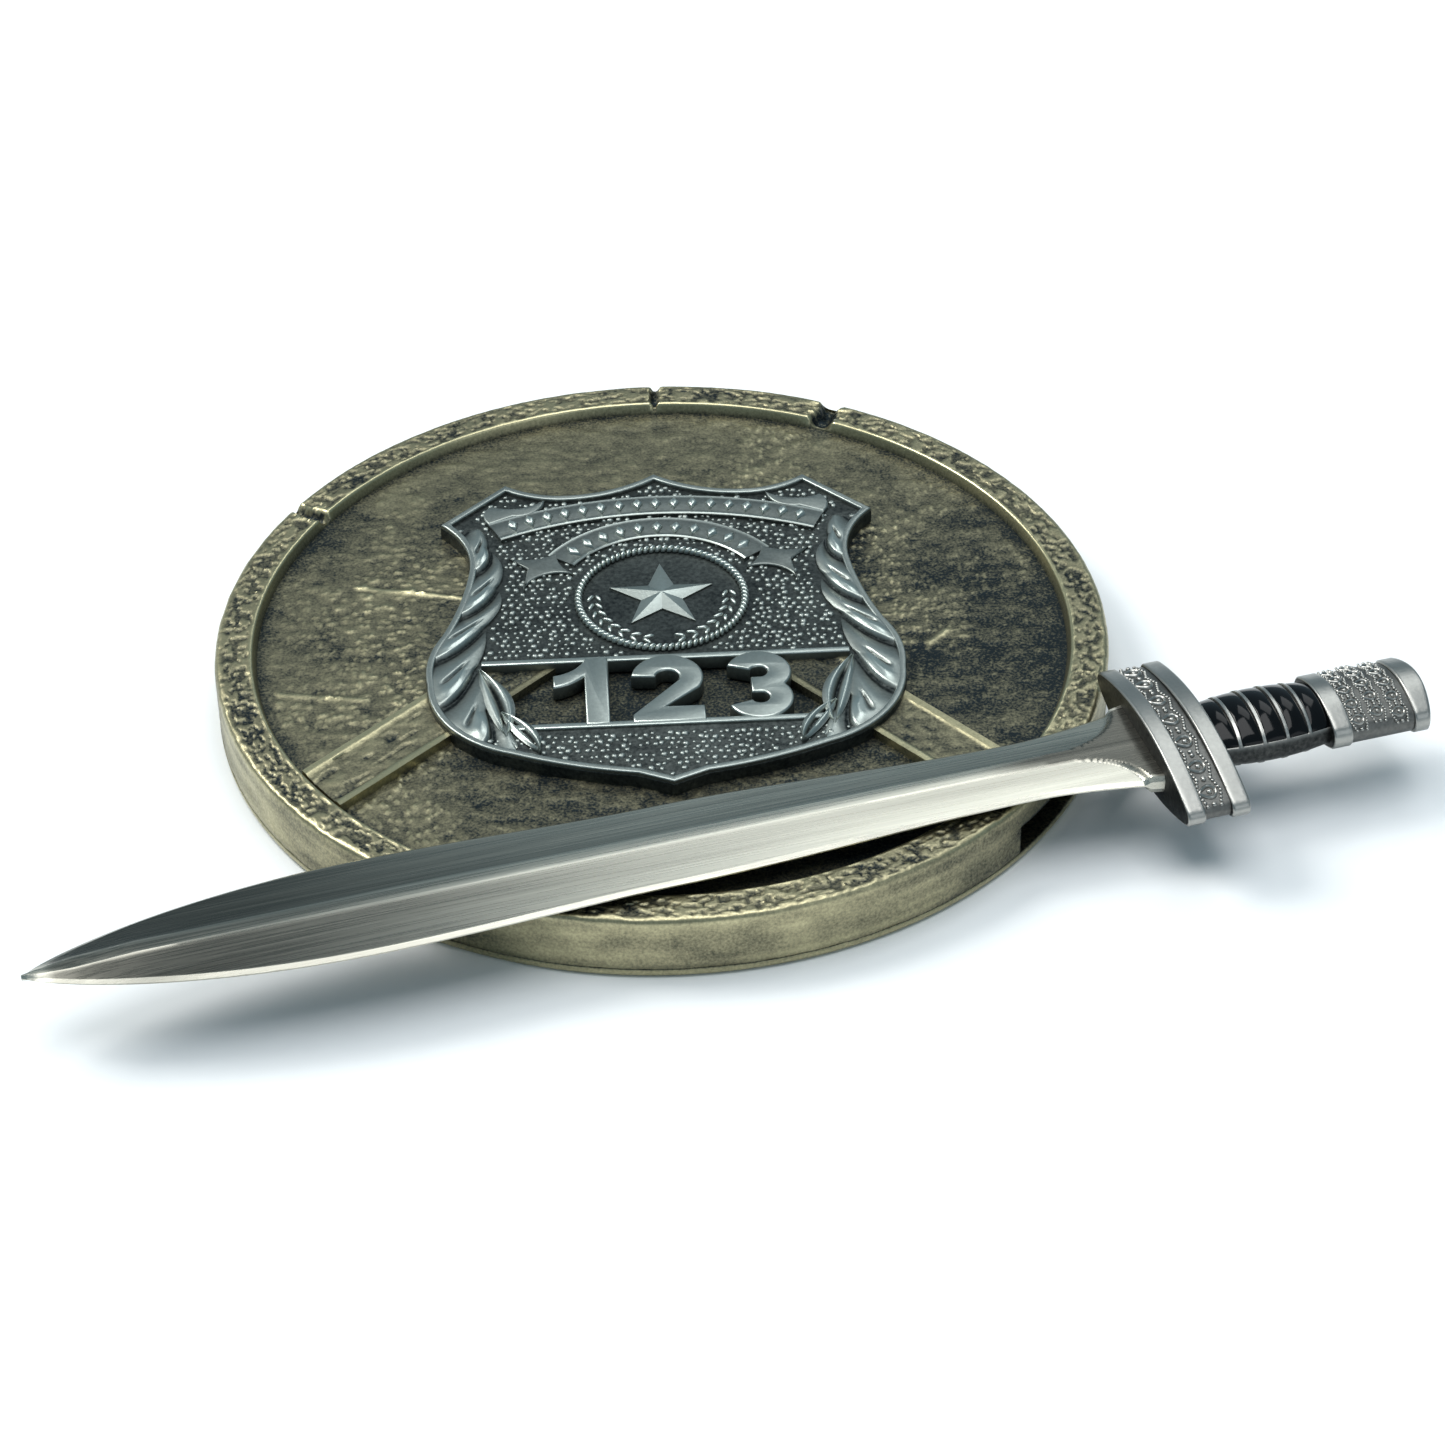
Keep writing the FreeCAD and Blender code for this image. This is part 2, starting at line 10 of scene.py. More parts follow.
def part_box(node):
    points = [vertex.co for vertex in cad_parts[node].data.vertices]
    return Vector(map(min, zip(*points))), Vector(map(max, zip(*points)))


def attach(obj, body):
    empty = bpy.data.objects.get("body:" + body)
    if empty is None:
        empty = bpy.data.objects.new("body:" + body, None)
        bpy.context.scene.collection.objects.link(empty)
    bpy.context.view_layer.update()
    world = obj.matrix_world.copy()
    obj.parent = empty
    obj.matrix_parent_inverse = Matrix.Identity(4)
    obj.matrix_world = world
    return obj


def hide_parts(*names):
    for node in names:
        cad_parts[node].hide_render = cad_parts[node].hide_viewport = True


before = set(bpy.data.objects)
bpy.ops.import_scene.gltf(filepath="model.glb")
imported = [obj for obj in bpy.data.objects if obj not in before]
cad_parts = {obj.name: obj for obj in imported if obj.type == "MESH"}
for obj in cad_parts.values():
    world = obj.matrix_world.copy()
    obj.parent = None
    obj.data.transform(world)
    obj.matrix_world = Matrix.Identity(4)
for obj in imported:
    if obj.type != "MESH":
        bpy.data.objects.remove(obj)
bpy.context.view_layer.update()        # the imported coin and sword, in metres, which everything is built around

bl_info = {
    "name": "Sword Challenge Coin",
    "version": (1, 0, 0),
    "blender": (4, 5, 0),
    "location": "View3D > Sidebar > Coin",
    "description": "Antique challenge coin with a shield badge and a loose miniature sword",
    "category": "Object",
}

MM = 0.001


# ---------------------------------------------------------------- places taken from the frame
def box_mm(node):
    """Lowest and highest corner of a CAD node, in millimetres."""
    low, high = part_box(node)
    return np.array(low) / MM, np.array(high) / MM


def reach(node, origin, direction):
    """How far a CAD node stretches along a direction from a point, in millimetres."""
    places = np.array([v.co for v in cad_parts[node].data.vertices]) / MM
    along = (places - origin) @ direction
    return float(along.min()), float(along.max())


COIN_LOW, COIN_HIGH = box_mm("coin_front")
RING_LOW, RING_HIGH = box_mm("rope_ring")
COIN_R = (COIN_HIGH[0] - COIN_LOW[0]) / 2
RIM_Z = COIN_HIGH[2]
BACK_Z = COIN_LOW[2]                       # joint between the two halves
FIELD_Z = box_mm("badge_plate")[0][2]
PLATE_Z = RING_LOW[2]
NUMBER_LOW_Z = box_mm("badge_number")[0][2]
NUMBER_HIGH_Z = box_mm("badge_number")[1][2]

BADGE_TURN = math.radians(2.4)
RING_Y = 3.3                               # ring centre above the badge's own centre
RING_CENTRE = (RING_LOW + RING_HIGH) / 2
BADGE_UP = np.array([-math.sin(BADGE_TURN), math.cos(BADGE_TURN), 0.0])
BADGE_SPOT = RING_CENTRE - RING_Y * BADGE_UP
BADGE_PLACE = (Matrix.Translation((BADGE_SPOT[0] * MM, BADGE_SPOT[1] * MM, 0))
               @ Matrix.Rotation(BADGE_TURN, 4, "Z") @ Matrix.Scale(MM, 4))
ROW_PLACE = Matrix.Scale(MM, 4)

GUARD_SPOT = sum(box_mm("guard_front")) / 2
POMMEL_SPOT = sum(box_mm("pommel_collar")) / 2
SWORD_AXIS = (POMMEL_SPOT - GUARD_SPOT) / np.linalg.norm(POMMEL_SPOT - GUARD_SPOT)
SWORD_SIDE = np.cross([0.0, 0.0, 1.0], SWORD_AXIS)
SWORD_TURN = math.atan2(SWORD_AXIS[1], SWORD_AXIS[0])
TIP = GUARD_SPOT + SWORD_AXIS * reach("blade", GUARD_SPOT, SWORD_AXIS)[0]
SWORD_PLACE = (Matrix.Translation(Vector(TIP * MM)) @ Matrix.Rotation(SWORD_TURN, 4, "Z")
               @ Matrix.Scale(MM, 4))


def span(node):
    """Start and end of a CAD node along the sword, from its tip."""
    return reach(node, TIP, SWORD_AXIS)


def half_across(node):
    return reach(node, TIP, SWORD_SIDE)[1]


def half_thick(node):
    return reach(node, TIP, np.array([0.0, 0.0, 1.0]))[1]


# ---------------------------------------------------------------- sizes a user may change
def linear(code):
    """A web colour as the linear red, green, blue and alpha that Blender works in."""
    parts = [int(code[i:i + 2], 16) / 255 for i in (1, 3, 5)]
    return [c / 12.92 if c <= 0.04045 else ((c + 0.055) / 1.055) ** 2.4 for c in parts] + [1.0]


def length(name, words, default):
    """A size in millimetres that the panel shows."""
    return bpy.props.FloatProperty(name=name, description=words, default=default, min=0.0)


def colour(name, words, code):
    return bpy.props.FloatVectorProperty(name=name, description=words, subtype="COLOR", size=4,
                                         min=0.0, max=1.0, default=linear(code))


class CoinSizes(bpy.types.PropertyGroup):
    """Sizes of the coin itself, in millimetres."""
    rim_width: length("Rim width", "Flat of the rim with its inner bevel", 2.95)
    edge_round: length("Edge round", "Radius of the rim's outer edge", 0.5)
    pit_depth: length("Pit depth", "Depth of the hammer marks in the rim", 0.11)
    grain_height: length("Grain height", "Height of the sand grains on the field", 0.14)
    strap_width: length("Strap width", "Width of the two raised straps", 4.7)
    strap_height: length("Strap height", "Height of the straps above the field", 0.7)
    tunnel_width: length("Tunnel width", "Width of the slot for the blade", 10.1)
    tunnel_height: length("Tunnel height", "Height of the slot for the blade", 2.3)


class BadgeSizes(bpy.types.PropertyGroup):
    """Sizes of the shield badge, in millimetres."""
    rail_width: length("Rail width", "Raised line round the shield", 0.55)
    pebble_pitch: length("Pebble pitch", "Spacing of the pebbled ground", 0.56)
    rope_width: length("Rope width", "Thickness of the rope ring", 0.62)
    digit_stroke: length("Digit stroke", "Width of the number's strokes", 1.72)


class SwordSizes(bpy.types.PropertyGroup):
    """Sizes of the sword's details, in millimetres."""
    blade_edge: length("Edge thickness", "Blade thickness where its edge bevels start", 0.5)
    blade_strip: length("Middle strip", "Width of the flat along the blade's middle", 1.0)
    motif_pitch: length("Motif pitch", "Spacing of the eyes round the guard", 2.35)
    enamel_dome: length("Enamel dome", "Rise of each enamel cell", 0.08)


class Finishes(bpy.types.PropertyGroup):
    """Colours of the platings, the enamel and the floor."""
    bronze: colour("Bronze", "Rubbed bronze on the high spots", "#C4BC97")
    bronze_patina: colour("Bronze patina", "Brown-black left in the hollows", "#232B2F")
    nickel: colour("Nickel", "Rubbed nickel on the badge", "#C2CAC4")
    nickel_patina: colour("Nickel patina", "Blue-black left in the hollows", "#1A2022")
    steel: colour("Blade nickel", "Brushed plating of the blade", "#DDDACC")
    silver: colour("Silver", "Rubbed silver of the hilt", "#CBCAC4")
    silver_patina: colour("Silver patina", "Grey left round the hilt's pattern", "#1F2223")
    enamel: colour("Enamel", "Black enamel of the grip", "#050607")
    floor: colour("Floor", "Pale studio floor", "#F4F6F7")


# ---------------------------------------------------------------- repeatable randomness
def hashed(ix, iy, seed):
    """Repeatable numbers from 0 to 1 for whole-number places on a grid."""
    code = (ix.astype(np.int64) * 73856093) ^ (iy.astype(np.int64) * 19349663)
    code = code ^ (seed * 83492791)
    code = (code ^ (code >> 13)) * 1274126177
    return ((code ^ (code >> 16)) & 0xFFFF) / 65535.0


def ramp(value, low, high):
    """Smooth step from 0 at low to 1 at high."""
    part = np.clip((value - low) / (high - low), 0.0, 1.0)
    return part * part * (3 - 2 * part)


def waves(x, y, size, seed):
    """Smooth random height from -1 to 1, with bumps about size across."""
    ix, iy = np.floor(x / size), np.floor(y / size)
    fx, fy = ramp(x / size - ix, 0, 1), ramp(y / size - iy, 0, 1)
    low = hashed(ix, iy, seed) * (1 - fx) + hashed(ix + 1, iy, seed) * fx
    high = hashed(ix, iy + 1, seed) * (1 - fx) + hashed(ix + 1, iy + 1, seed) * fx
    return 2 * (low * (1 - fy) + high * fy) - 1


def grains(x, y, pitch, seed):
    """Distance to the nearest scattered grain, in pitches, and that grain's own number."""
    ix, iy = np.floor(x / pitch), np.floor(y / pitch)
    nearest = np.full(np.shape(x), 9.0)
    number = np.zeros(np.shape(x))
    for step_x in (-1, 0, 1):
        for step_y in (-1, 0, 1):
            cell_x, cell_y = ix + step_x, iy + step_y
            spot_x = cell_x + 0.15 + 0.7 * hashed(cell_x, cell_y, seed)
            spot_y = cell_y + 0.15 + 0.7 * hashed(cell_x, cell_y, seed + 1)
            away = np.hypot(x / pitch - spot_x, y / pitch - spot_y)
            closer = away < nearest
            nearest = np.where(closer, away, nearest)
            number = np.where(closer, hashed(cell_x, cell_y, seed + 2), number)
    return nearest, number


# ---------------------------------------------------------------- outlines
def arc(centre, radius, start, end, steps=24):
    """Points on a round stretch, angles in degrees."""
    angles = np.radians(np.linspace(start, end, steps))
    return [(centre[0] + radius * math.cos(a), centre[1] + radius * math.sin(a)) for a in angles]


def bend(start, middle, end, steps=14):
    """Points on the circle through three points, without the last one."""
    (ax, ay), (bx, by), (cx, cy) = start, middle, end
    area = 2 * (ax * (by - cy) + bx * (cy - ay) + cx * (ay - by))
    if abs(area) < 1e-9:
        return [start, middle]
    a2, b2, c2 = ax * ax + ay * ay, bx * bx + by * by, cx * cx + cy * cy
    ux = (a2 * (by - cy) + b2 * (cy - ay) + c2 * (ay - by)) / area
    uy = (a2 * (cx - bx) + b2 * (ax - cx) + c2 * (bx - ax)) / area
    turns = [math.atan2(p[1] - uy, p[0] - ux) for p in (start, middle, end)]
    full = (turns[2] - turns[0]) % (2 * math.pi)
    if (turns[1] - turns[0]) % (2 * math.pi) > full:
        full -= 2 * math.pi
    radius = math.hypot(ax - ux, ay - uy)
    angles = [turns[0] + full * k / steps for k in range(steps)]
    return [(ux + radius * math.cos(t), uy + radius * math.sin(t)) for t in angles]


def outline(items, closed=True):
    """Dense outline from a few points.  ("arc", x, y) is the middle of an arc."""
    points = []
    place = items[0]
    middle = None
    for item in list(items[1:]) + ([items[0]] if closed else []):
        if item[0] == "arc":
            middle = item[1:]
            continue
        points += [place] if middle is None else bend(place, middle, item)
        place, middle = item, None
    return points if closed else points + [place]


def evened(points, count):
    """The same line as count points at even steps along it."""
    points = np.array(points, float)
    gaps = np.hypot(*np.diff(points, axis=0).T)
    along = np.concatenate([[0], np.cumsum(gaps)])
    steps = np.linspace(0, along[-1], count)
    return np.stack([np.interp(steps, along, points[:, k]) for k in (0, 1)], 1)


def inset(loop, distance):
    """A closed outline moved inwards all round, with its corners kept sharp."""
    points = np.array(loop, float)
    x, y = points.T
    if np.sum(x * np.roll(y, -1) - np.roll(x, -1) * y) < 0:
        points = points[::-1]
    edges = np.roll(points, -1, 0) - points
    normals = np.stack([-edges[:, 1], edges[:, 0]], 1)
    normals /= np.linalg.norm(normals, axis=1, keepdims=True)
    before = np.roll(normals, 1, 0)
    share = 1 + np.sum(normals * before, 1, keepdims=True)
    return points + distance * (normals + before) / np.maximum(share, 0.3)


def inside(loop, x, y):
    """Which places lie inside a closed outline."""
    crossed = np.zeros(np.shape(x), bool)
    ax, ay = np.array(loop, float).T
    for px, py, qx, qy in zip(ax, ay, np.roll(ax, -1), np.roll(ay, -1)):
        if py != qy:
            crossed ^= ((py > y) != (qy > y)) & (x < (qx - px) * (y - py) / (qy - py) + px)
    return crossed


# ---------------------------------------------------------------- mesh building
def show(name, mesh, material):
    """Wrap a finished mesh in an object of the scene."""
    piece = bpy.data.objects.new(name, mesh)
    bpy.context.scene.collection.objects.link(piece)
    mesh.materials.clear()
    mesh.materials.append(material)
    return piece


def solid(name, points, faces, material, place=ROW_PLACE, wear_and_light=None, sharp=38.0):
    """A piece from points in millimetres, with its normals turned outwards."""
    mesh = bpy.data.meshes.new(name)
    mesh.from_pydata([tuple(p) for p in points], [], faces)
    if wear_and_light is not None:
        mark = mesh.attributes.new("wear_and_light", "FLOAT", "POINT")
        mark.data.foreach_set("value", np.asarray(wear_and_light, np.float32).ravel())
    mesh.transform(place)
    work = bmesh.new()
    work.from_mesh(mesh)
    bmesh.ops.recalc_face_normals(work, faces=work.faces)
    work.to_mesh(mesh)
    work.free()
    mesh.shade_smooth()
    mesh.set_sharp_from_angle(angle=math.radians(sharp))
    return show(name, mesh, material)


def grid_faces(rows, columns, wrap_rows=False, wrap_columns=False):
    """Quads of a grid whose points are numbered row by row."""
    numbers = np.arange(rows * columns).reshape(rows, columns)
    if wrap_rows:
        numbers = np.vstack([numbers, numbers[:1]])
    if wrap_columns:
        numbers = np.hstack([numbers, numbers[:, :1]])
    quads = np.stack([numbers[:-1, :-1], numbers[1:, :-1], numbers[1:, 1:], numbers[:-1, 1:]], -1)
    return quads.reshape(-1, 4).tolist()


def loft(name, rings, material, place=ROW_PLACE, wear_and_light=None, sharp=38.0):
    """A closed skin over rings of points, capped at both ends."""
    rows, columns = rings.shape[:2]
    faces = grid_faces(rows, columns, wrap_columns=True)
    faces.append(list(range(columns)))
    faces.append(list(range((rows - 1) * columns, rows * columns)))
    return solid(name, rings.reshape(-1, 3), faces, material, place, wear_and_light, sharp)


FOOT_POLISH = 0.35         # how rubbed the foot of a raised strip is, against its edge


def strip(name, edge_a, edge_b, across, floor, relief, material, place, sharp=38.0):
    """A closed raised strip between two edges.  relief(u, v, x, y) gives height and polish."""
    edge_a, edge_b = np.array(edge_a, float), np.array(edge_b, float)
    count = len(edge_a)
    u, v = np.meshgrid(np.linspace(0, 1, count), np.linspace(0, 1, across), indexing="ij")
    flat = edge_a[:, None] * (1 - v[..., None]) + edge_b[:, None] * v[..., None]
    height, wear_and_light = relief(u, v, flat[..., 0], flat[..., 1])
    top = np.dstack([flat, floor + height])
    wear_and_light = np.broadcast_to(wear_and_light, u.shape)
    # a border at floor level all round turns the sheet into a solid
    top = np.pad(top, ((1, 1), (1, 1), (0, 0)), mode="edge")
    wear_and_light = np.pad(wear_and_light, 1, mode="edge").copy()
    for border in (np.s_[:1], np.s_[-1:], np.s_[:, :1], np.s_[:, -1:]):
        top[border][..., 2] = floor
        wear_and_light[border] *= FOOT_POLISH
    rows, columns = count + 2, across + 2
    faces = grid_faces(rows, columns)
    left = [row * columns for row in range(rows)]
    right = [row * columns + columns - 1 for row in range(rows)]
    faces.append(list(range(columns)) + [right[1], left[1]])
    for row in range(1, rows - 2):
        faces.append([left[row], right[row], right[row + 1], left[row + 1]])
    faces.append([left[-2], right[-2]] + list(range(rows * columns - 1, (rows - 1) * columns - 1, -1)))
    return solid(name, top.reshape(-1, 3), faces, material, place, wear_and_light, sharp)


def plaque(name, loops, low, high, bevel, material, place, wear_and_light=(0.2, 0.9)):
    """A flat piece cut to a closed outline, with a rounded top edge.  Later loops are holes."""
    points, marks, faces, lids = [], [], [], ([], [])
    profile = [(0.0, low)] + [(bevel * (1 - math.cos(q)), high - bevel * (1 - math.sin(q)))
                              for q in np.radians([0, 30, 60, 90])]
    for number, loop in enumerate(loops):
        loop = [p for p, q in zip(loop, list(loop[1:]) + [loop[0]]) if math.dist(p, q) > 0.01]
        first, count = len(points), len(loop)
        for (drawn_in, level), wear_and_sheen in zip(profile, (0.0, 0.6, 0.95, 1.0, 0.85)):
            points += [(x, y, level) for x, y in inset(loop, drawn_in if number == 0 else -drawn_in)]
            marks += [wear_and_light[0] + (wear_and_light[1] - wear_and_light[0]) * wear_and_sheen] * count
        faces += [[first + k for k in face] for face in grid_faces(len(profile), count, wrap_columns=True)]
        lids[0].append(list(range(first, first + count)))
        lids[1].append(list(range(len(points) - count, len(points))))
    for lid in lids:
        order = [k for ring in lid for k in ring]
        flat = [[Vector((points[k][0], points[k][1], 0)) for k in ring] for ring in lid]
        faces += [[order[k] for k in face] for face in tessellate_polygon(flat)]
    return solid(name, points, faces, material, place, marks, 40)


def plain_mesh(carrier):
    """What an object looks like with its modifiers applied, as a plain mesh."""
    graph = bpy.context.evaluated_depsgraph_get()
    graph.update()
    return bpy.data.meshes.new_from_object(carrier.evaluated_get(graph), depsgraph=graph)


def settle(piece):
    """Apply a piece's modifiers and remove them."""
    mesh = plain_mesh(piece)
    piece.modifiers.clear()
    piece.data = mesh
    return piece


def joined(name, pieces):
    """Several pieces as one object."""
    work = bmesh.new()
    material = pieces[0].data.materials[0]
    for piece in pieces:
        work.from_mesh(piece.data)
        bpy.data.objects.remove(piece)
    mesh = bpy.data.meshes.new(name)
    work.to_mesh(mesh)
    work.free()
    return show(name, mesh, material)


def cut(piece, cutter):
    """Take a cutter's volume out of a piece."""
    knife = piece.modifiers.new("cut", "BOOLEAN")
    knife.operation = "DIFFERENCE"
    knife.solver = "EXACT"
    knife.object = cutter
    settle(piece)
    bpy.data.objects.remove(cutter)
    return piece


def turned(profile, columns):
    """Grids of radius, angle, height and polish for a profile carried round the coin's axis."""
    profile = np.array(profile)
    angles = np.linspace(0, 2 * math.pi, columns, endpoint=False)
    radius, angle = np.meshgrid(profile[:, 0], angles, indexing="ij")
    return radius, angle, np.repeat(profile[:, 1:2], columns, 1), np.repeat(profile[:, 2:3], columns, 1)


def brick(low, high, turn, material):
    """A plain block used only as a cutting tool."""
    corners = [(x, y, z) for z in (low[2], high[2]) for y in (low[1], high[1]) for x in (low[0], high[0])]
    faces = [(0, 2, 3, 1), (4, 5, 7, 6), (0, 1, 5, 4), (2, 6, 7, 3), (0, 4, 6, 2), (1, 3, 7, 5)]
    return solid("cutter", corners, faces, material, ROW_PLACE @ Matrix.Rotation(turn, 4, "Z"))


# ---------------------------------------------------------------- node trees
def add(tree, kind, inputs=None, **settings):
    """Add a node.  inputs maps an input's name or number to a value or to a socket to link."""
    node = tree.nodes.new(kind)
    for name, value in settings.items():
        setattr(node, name, value)
    for name, value in (inputs or {}).items():
        if isinstance(value, bpy.types.NodeSocket):
            tree.links.new(value, node.inputs[name])
        else:
            node.inputs[name].default_value = value
    return node


def repeat_tree(material):
    """Geometry Nodes: put a shape on every point, turned as the point says and sized at random between two
    bounds.
    """
    tree = bpy.data.node_groups.new("repeat on points", "GeometryNodeTree")
    face = tree.interface
    for name, kind in (("Points", "Geometry"), ("Shape", "Object"), ("Smallest", "Float"),
                       ("Largest", "Float"), ("Seed", "Int")):
        face.new_socket(name, in_out="INPUT", socket_type="NodeSocket" + kind)
    face.new_socket("Pieces", in_out="OUTPUT", socket_type="NodeSocketGeometry")
    given = add(tree, "NodeGroupInput")
    shape = add(tree, "GeometryNodeObjectInfo", {"Object": given.outputs["Shape"]})
    turn = add(tree, "GeometryNodeInputNamedAttribute", {"Name": "turn"}, data_type="FLOAT_VECTOR")
    size = add(tree, "FunctionNodeRandomValue", {
        2: given.outputs["Smallest"], 3: given.outputs["Largest"], "Seed": given.outputs["Seed"]})
    placed = add(tree, "GeometryNodeInstanceOnPoints", {
        "Points": given.outputs["Points"], "Instance": shape.outputs["Geometry"],
        "Rotation": turn.outputs["Attribute"], "Scale": size.outputs[1]})
    real = add(tree, "GeometryNodeRealizeInstances", {"Geometry": placed.outputs["Instances"]})
    dressed = add(tree, "GeometryNodeSetMaterial", {"Geometry": real.outputs["Geometry"],
                                                    "Material": material})
    add(tree, "NodeGroupOutput", {"Pieces": dressed.outputs["Geometry"]})
    return tree


def repeated(name, spots, turns, shape, material, place, sizes=(1.0, 1.0), seed=1):
    """Copies of a small shape at many places, as one plain piece."""
    mesh = bpy.data.meshes.new(name)
    mesh.from_pydata([tuple(p) for p in spots], [], [])
    angles = mesh.attributes.new("turn", "FLOAT_VECTOR", "POINT")
    angles.data.foreach_set("vector", np.asarray(turns, np.float32).ravel())
    piece = show(name, mesh, material)
    tree = repeat_tree(material)
    maker = piece.modifiers.new("repeat", "NODES")
    maker.node_group = tree
    values = {"Shape": shape, "Smallest": sizes[0], "Largest": sizes[1], "Seed": seed}
    for item in tree.interface.items_tree:
        if item.name in values:
            maker[item.identifier] = values[item.name]
    settle(piece)
    bpy.data.objects.remove(shape)
    piece.data.transform(place)
    piece.data.shade_smooth()
    piece.data.set_sharp_from_angle(angle=math.radians(45))
    piece.data.materials.clear()
    piece.data.materials.append(material)
    return piece


def bead(radius, flatten, material, sides=8, rings=4, stretch=1.0, wear_and_light=0.95):
    """A small dome of a few dozen faces."""
    rows = []
    for ring in range(rings):
        lift = math.radians(90 * ring / rings)
        for side in range(sides):
            angle = 2 * math.pi * side / sides
            rows.append((stretch * radius * math.cos(lift) * math.cos(angle),
                         radius * math.cos(lift) * math.sin(angle), flatten * radius * math.sin(lift)))
    rows.append((0, 0, flatten * radius))
    faces = grid_faces(rings, sides, wrap_columns=True)
    last = (rings - 1) * sides
    faces += [[last + side, last + (side + 1) % sides, len(rows) - 1] for side in range(sides)]
    faces.append(list(range(sides)))
    marks = np.linspace(wear_and_light * 0.55, wear_and_light, rings).repeat(sides).tolist() + [wear_and_light]
    return solid("bead", rows, faces, material, Matrix.Identity(4), marks)


# ---------------------------------------------------------------- finishes
def blank(name):
    material = bpy.data.materials.new(name)
    material.use_nodes = True
    tree = material.node_tree
    tree.nodes.clear()
    return material, tree


def antiqued(name, patina, metal, rough=(0.62, 0.3), mottle=0.55, grain_mm=0.3, drift_share=0.5):
    """Plating left dark in its hollows and rubbed bright on its high spots.  The piece's own attribute says how
    rubbed a place is, and in a few places carries painted shade and painted highlights; fine noise breaks the
    change up."""
    material, tree = blank(name)
    spot = add(tree, "ShaderNodeTexCoord").outputs["Object"]
    wear_and_light = add(tree, "ShaderNodeAttribute", attribute_name="wear_and_light").outputs["Fac"]
    fine = add(tree, "ShaderNodeTexNoise", {"Vector": spot, "Scale": 1 / (grain_mm * MM),
                                            "Detail": 3.0, "Roughness": 0.6})
    broad = add(tree, "ShaderNodeTexNoise", {"Vector": spot, "Scale": 1 / (5.0 * MM), "Detail": 2.0})
    speck = add(tree, "ShaderNodeMath", {0: fine.outputs["Fac"], 1: -0.5}, operation="ADD")
    uneven = add(tree, "ShaderNodeMath", {0: speck.outputs[0], 1: mottle, 2: wear_and_light},
                 operation="MULTIPLY_ADD")
    drift = add(tree, "ShaderNodeMath", {0: broad.outputs["Fac"], 1: -0.5}, operation="ADD")
    wear_and_shade = add(tree, "ShaderNodeMath", {0: drift.outputs[0], 1: mottle * drift_share, 2: uneven.outputs[0]},
               operation="MULTIPLY_ADD", use_clamp=True)
    tint = add(tree, "ShaderNodeMix", {"Factor": wear_and_shade.outputs[0], 6: patina, 7: metal},
               data_type="RGBA")
    gloss = add(tree, "ShaderNodeMapRange", {"Value": wear_and_shade.outputs[0], "To Min": rough[0],
                                             "To Max": rough[1]})
    tooth = add(tree, "ShaderNodeBump", {"Height": fine.outputs["Fac"], "Strength": 0.25,
                                         "Distance": 0.04 * MM})
    surface = add(tree, "ShaderNodeBsdfPrincipled", {
        "Base Color": tint.outputs[2], "Roughness": gloss.outputs[0], "Metallic": 1.0,
        "Normal": tooth.outputs[0]})
    add(tree, "ShaderNodeOutputMaterial", {"Surface": surface.outputs[0]})
    return material


def antique_bronze(finish):
    """Bronze plating on cast zinc, blackened and hand rubbed: brassy on every raised place."""
    return antiqued("antique_bronze", finish.bronze_patina, finish.bronze, (0.55, 0.31), mottle=0.9,
                    grain_mm=0.2, drift_share=0.3)


def antique_nickel(finish):
    """Blackened nickel plating: soft grey on the relief, near black round it."""
    return antiqued("antique_nickel", finish.nickel_patina, finish.nickel, (0.5, 0.3), mottle=0.3)


def antique_silver(finish):
    """Silver plating with grey left round the stamped pattern."""
    return antiqued("antique_silver", finish.silver_patina, finish.silver, (0.5, 0.24), mottle=0.22)


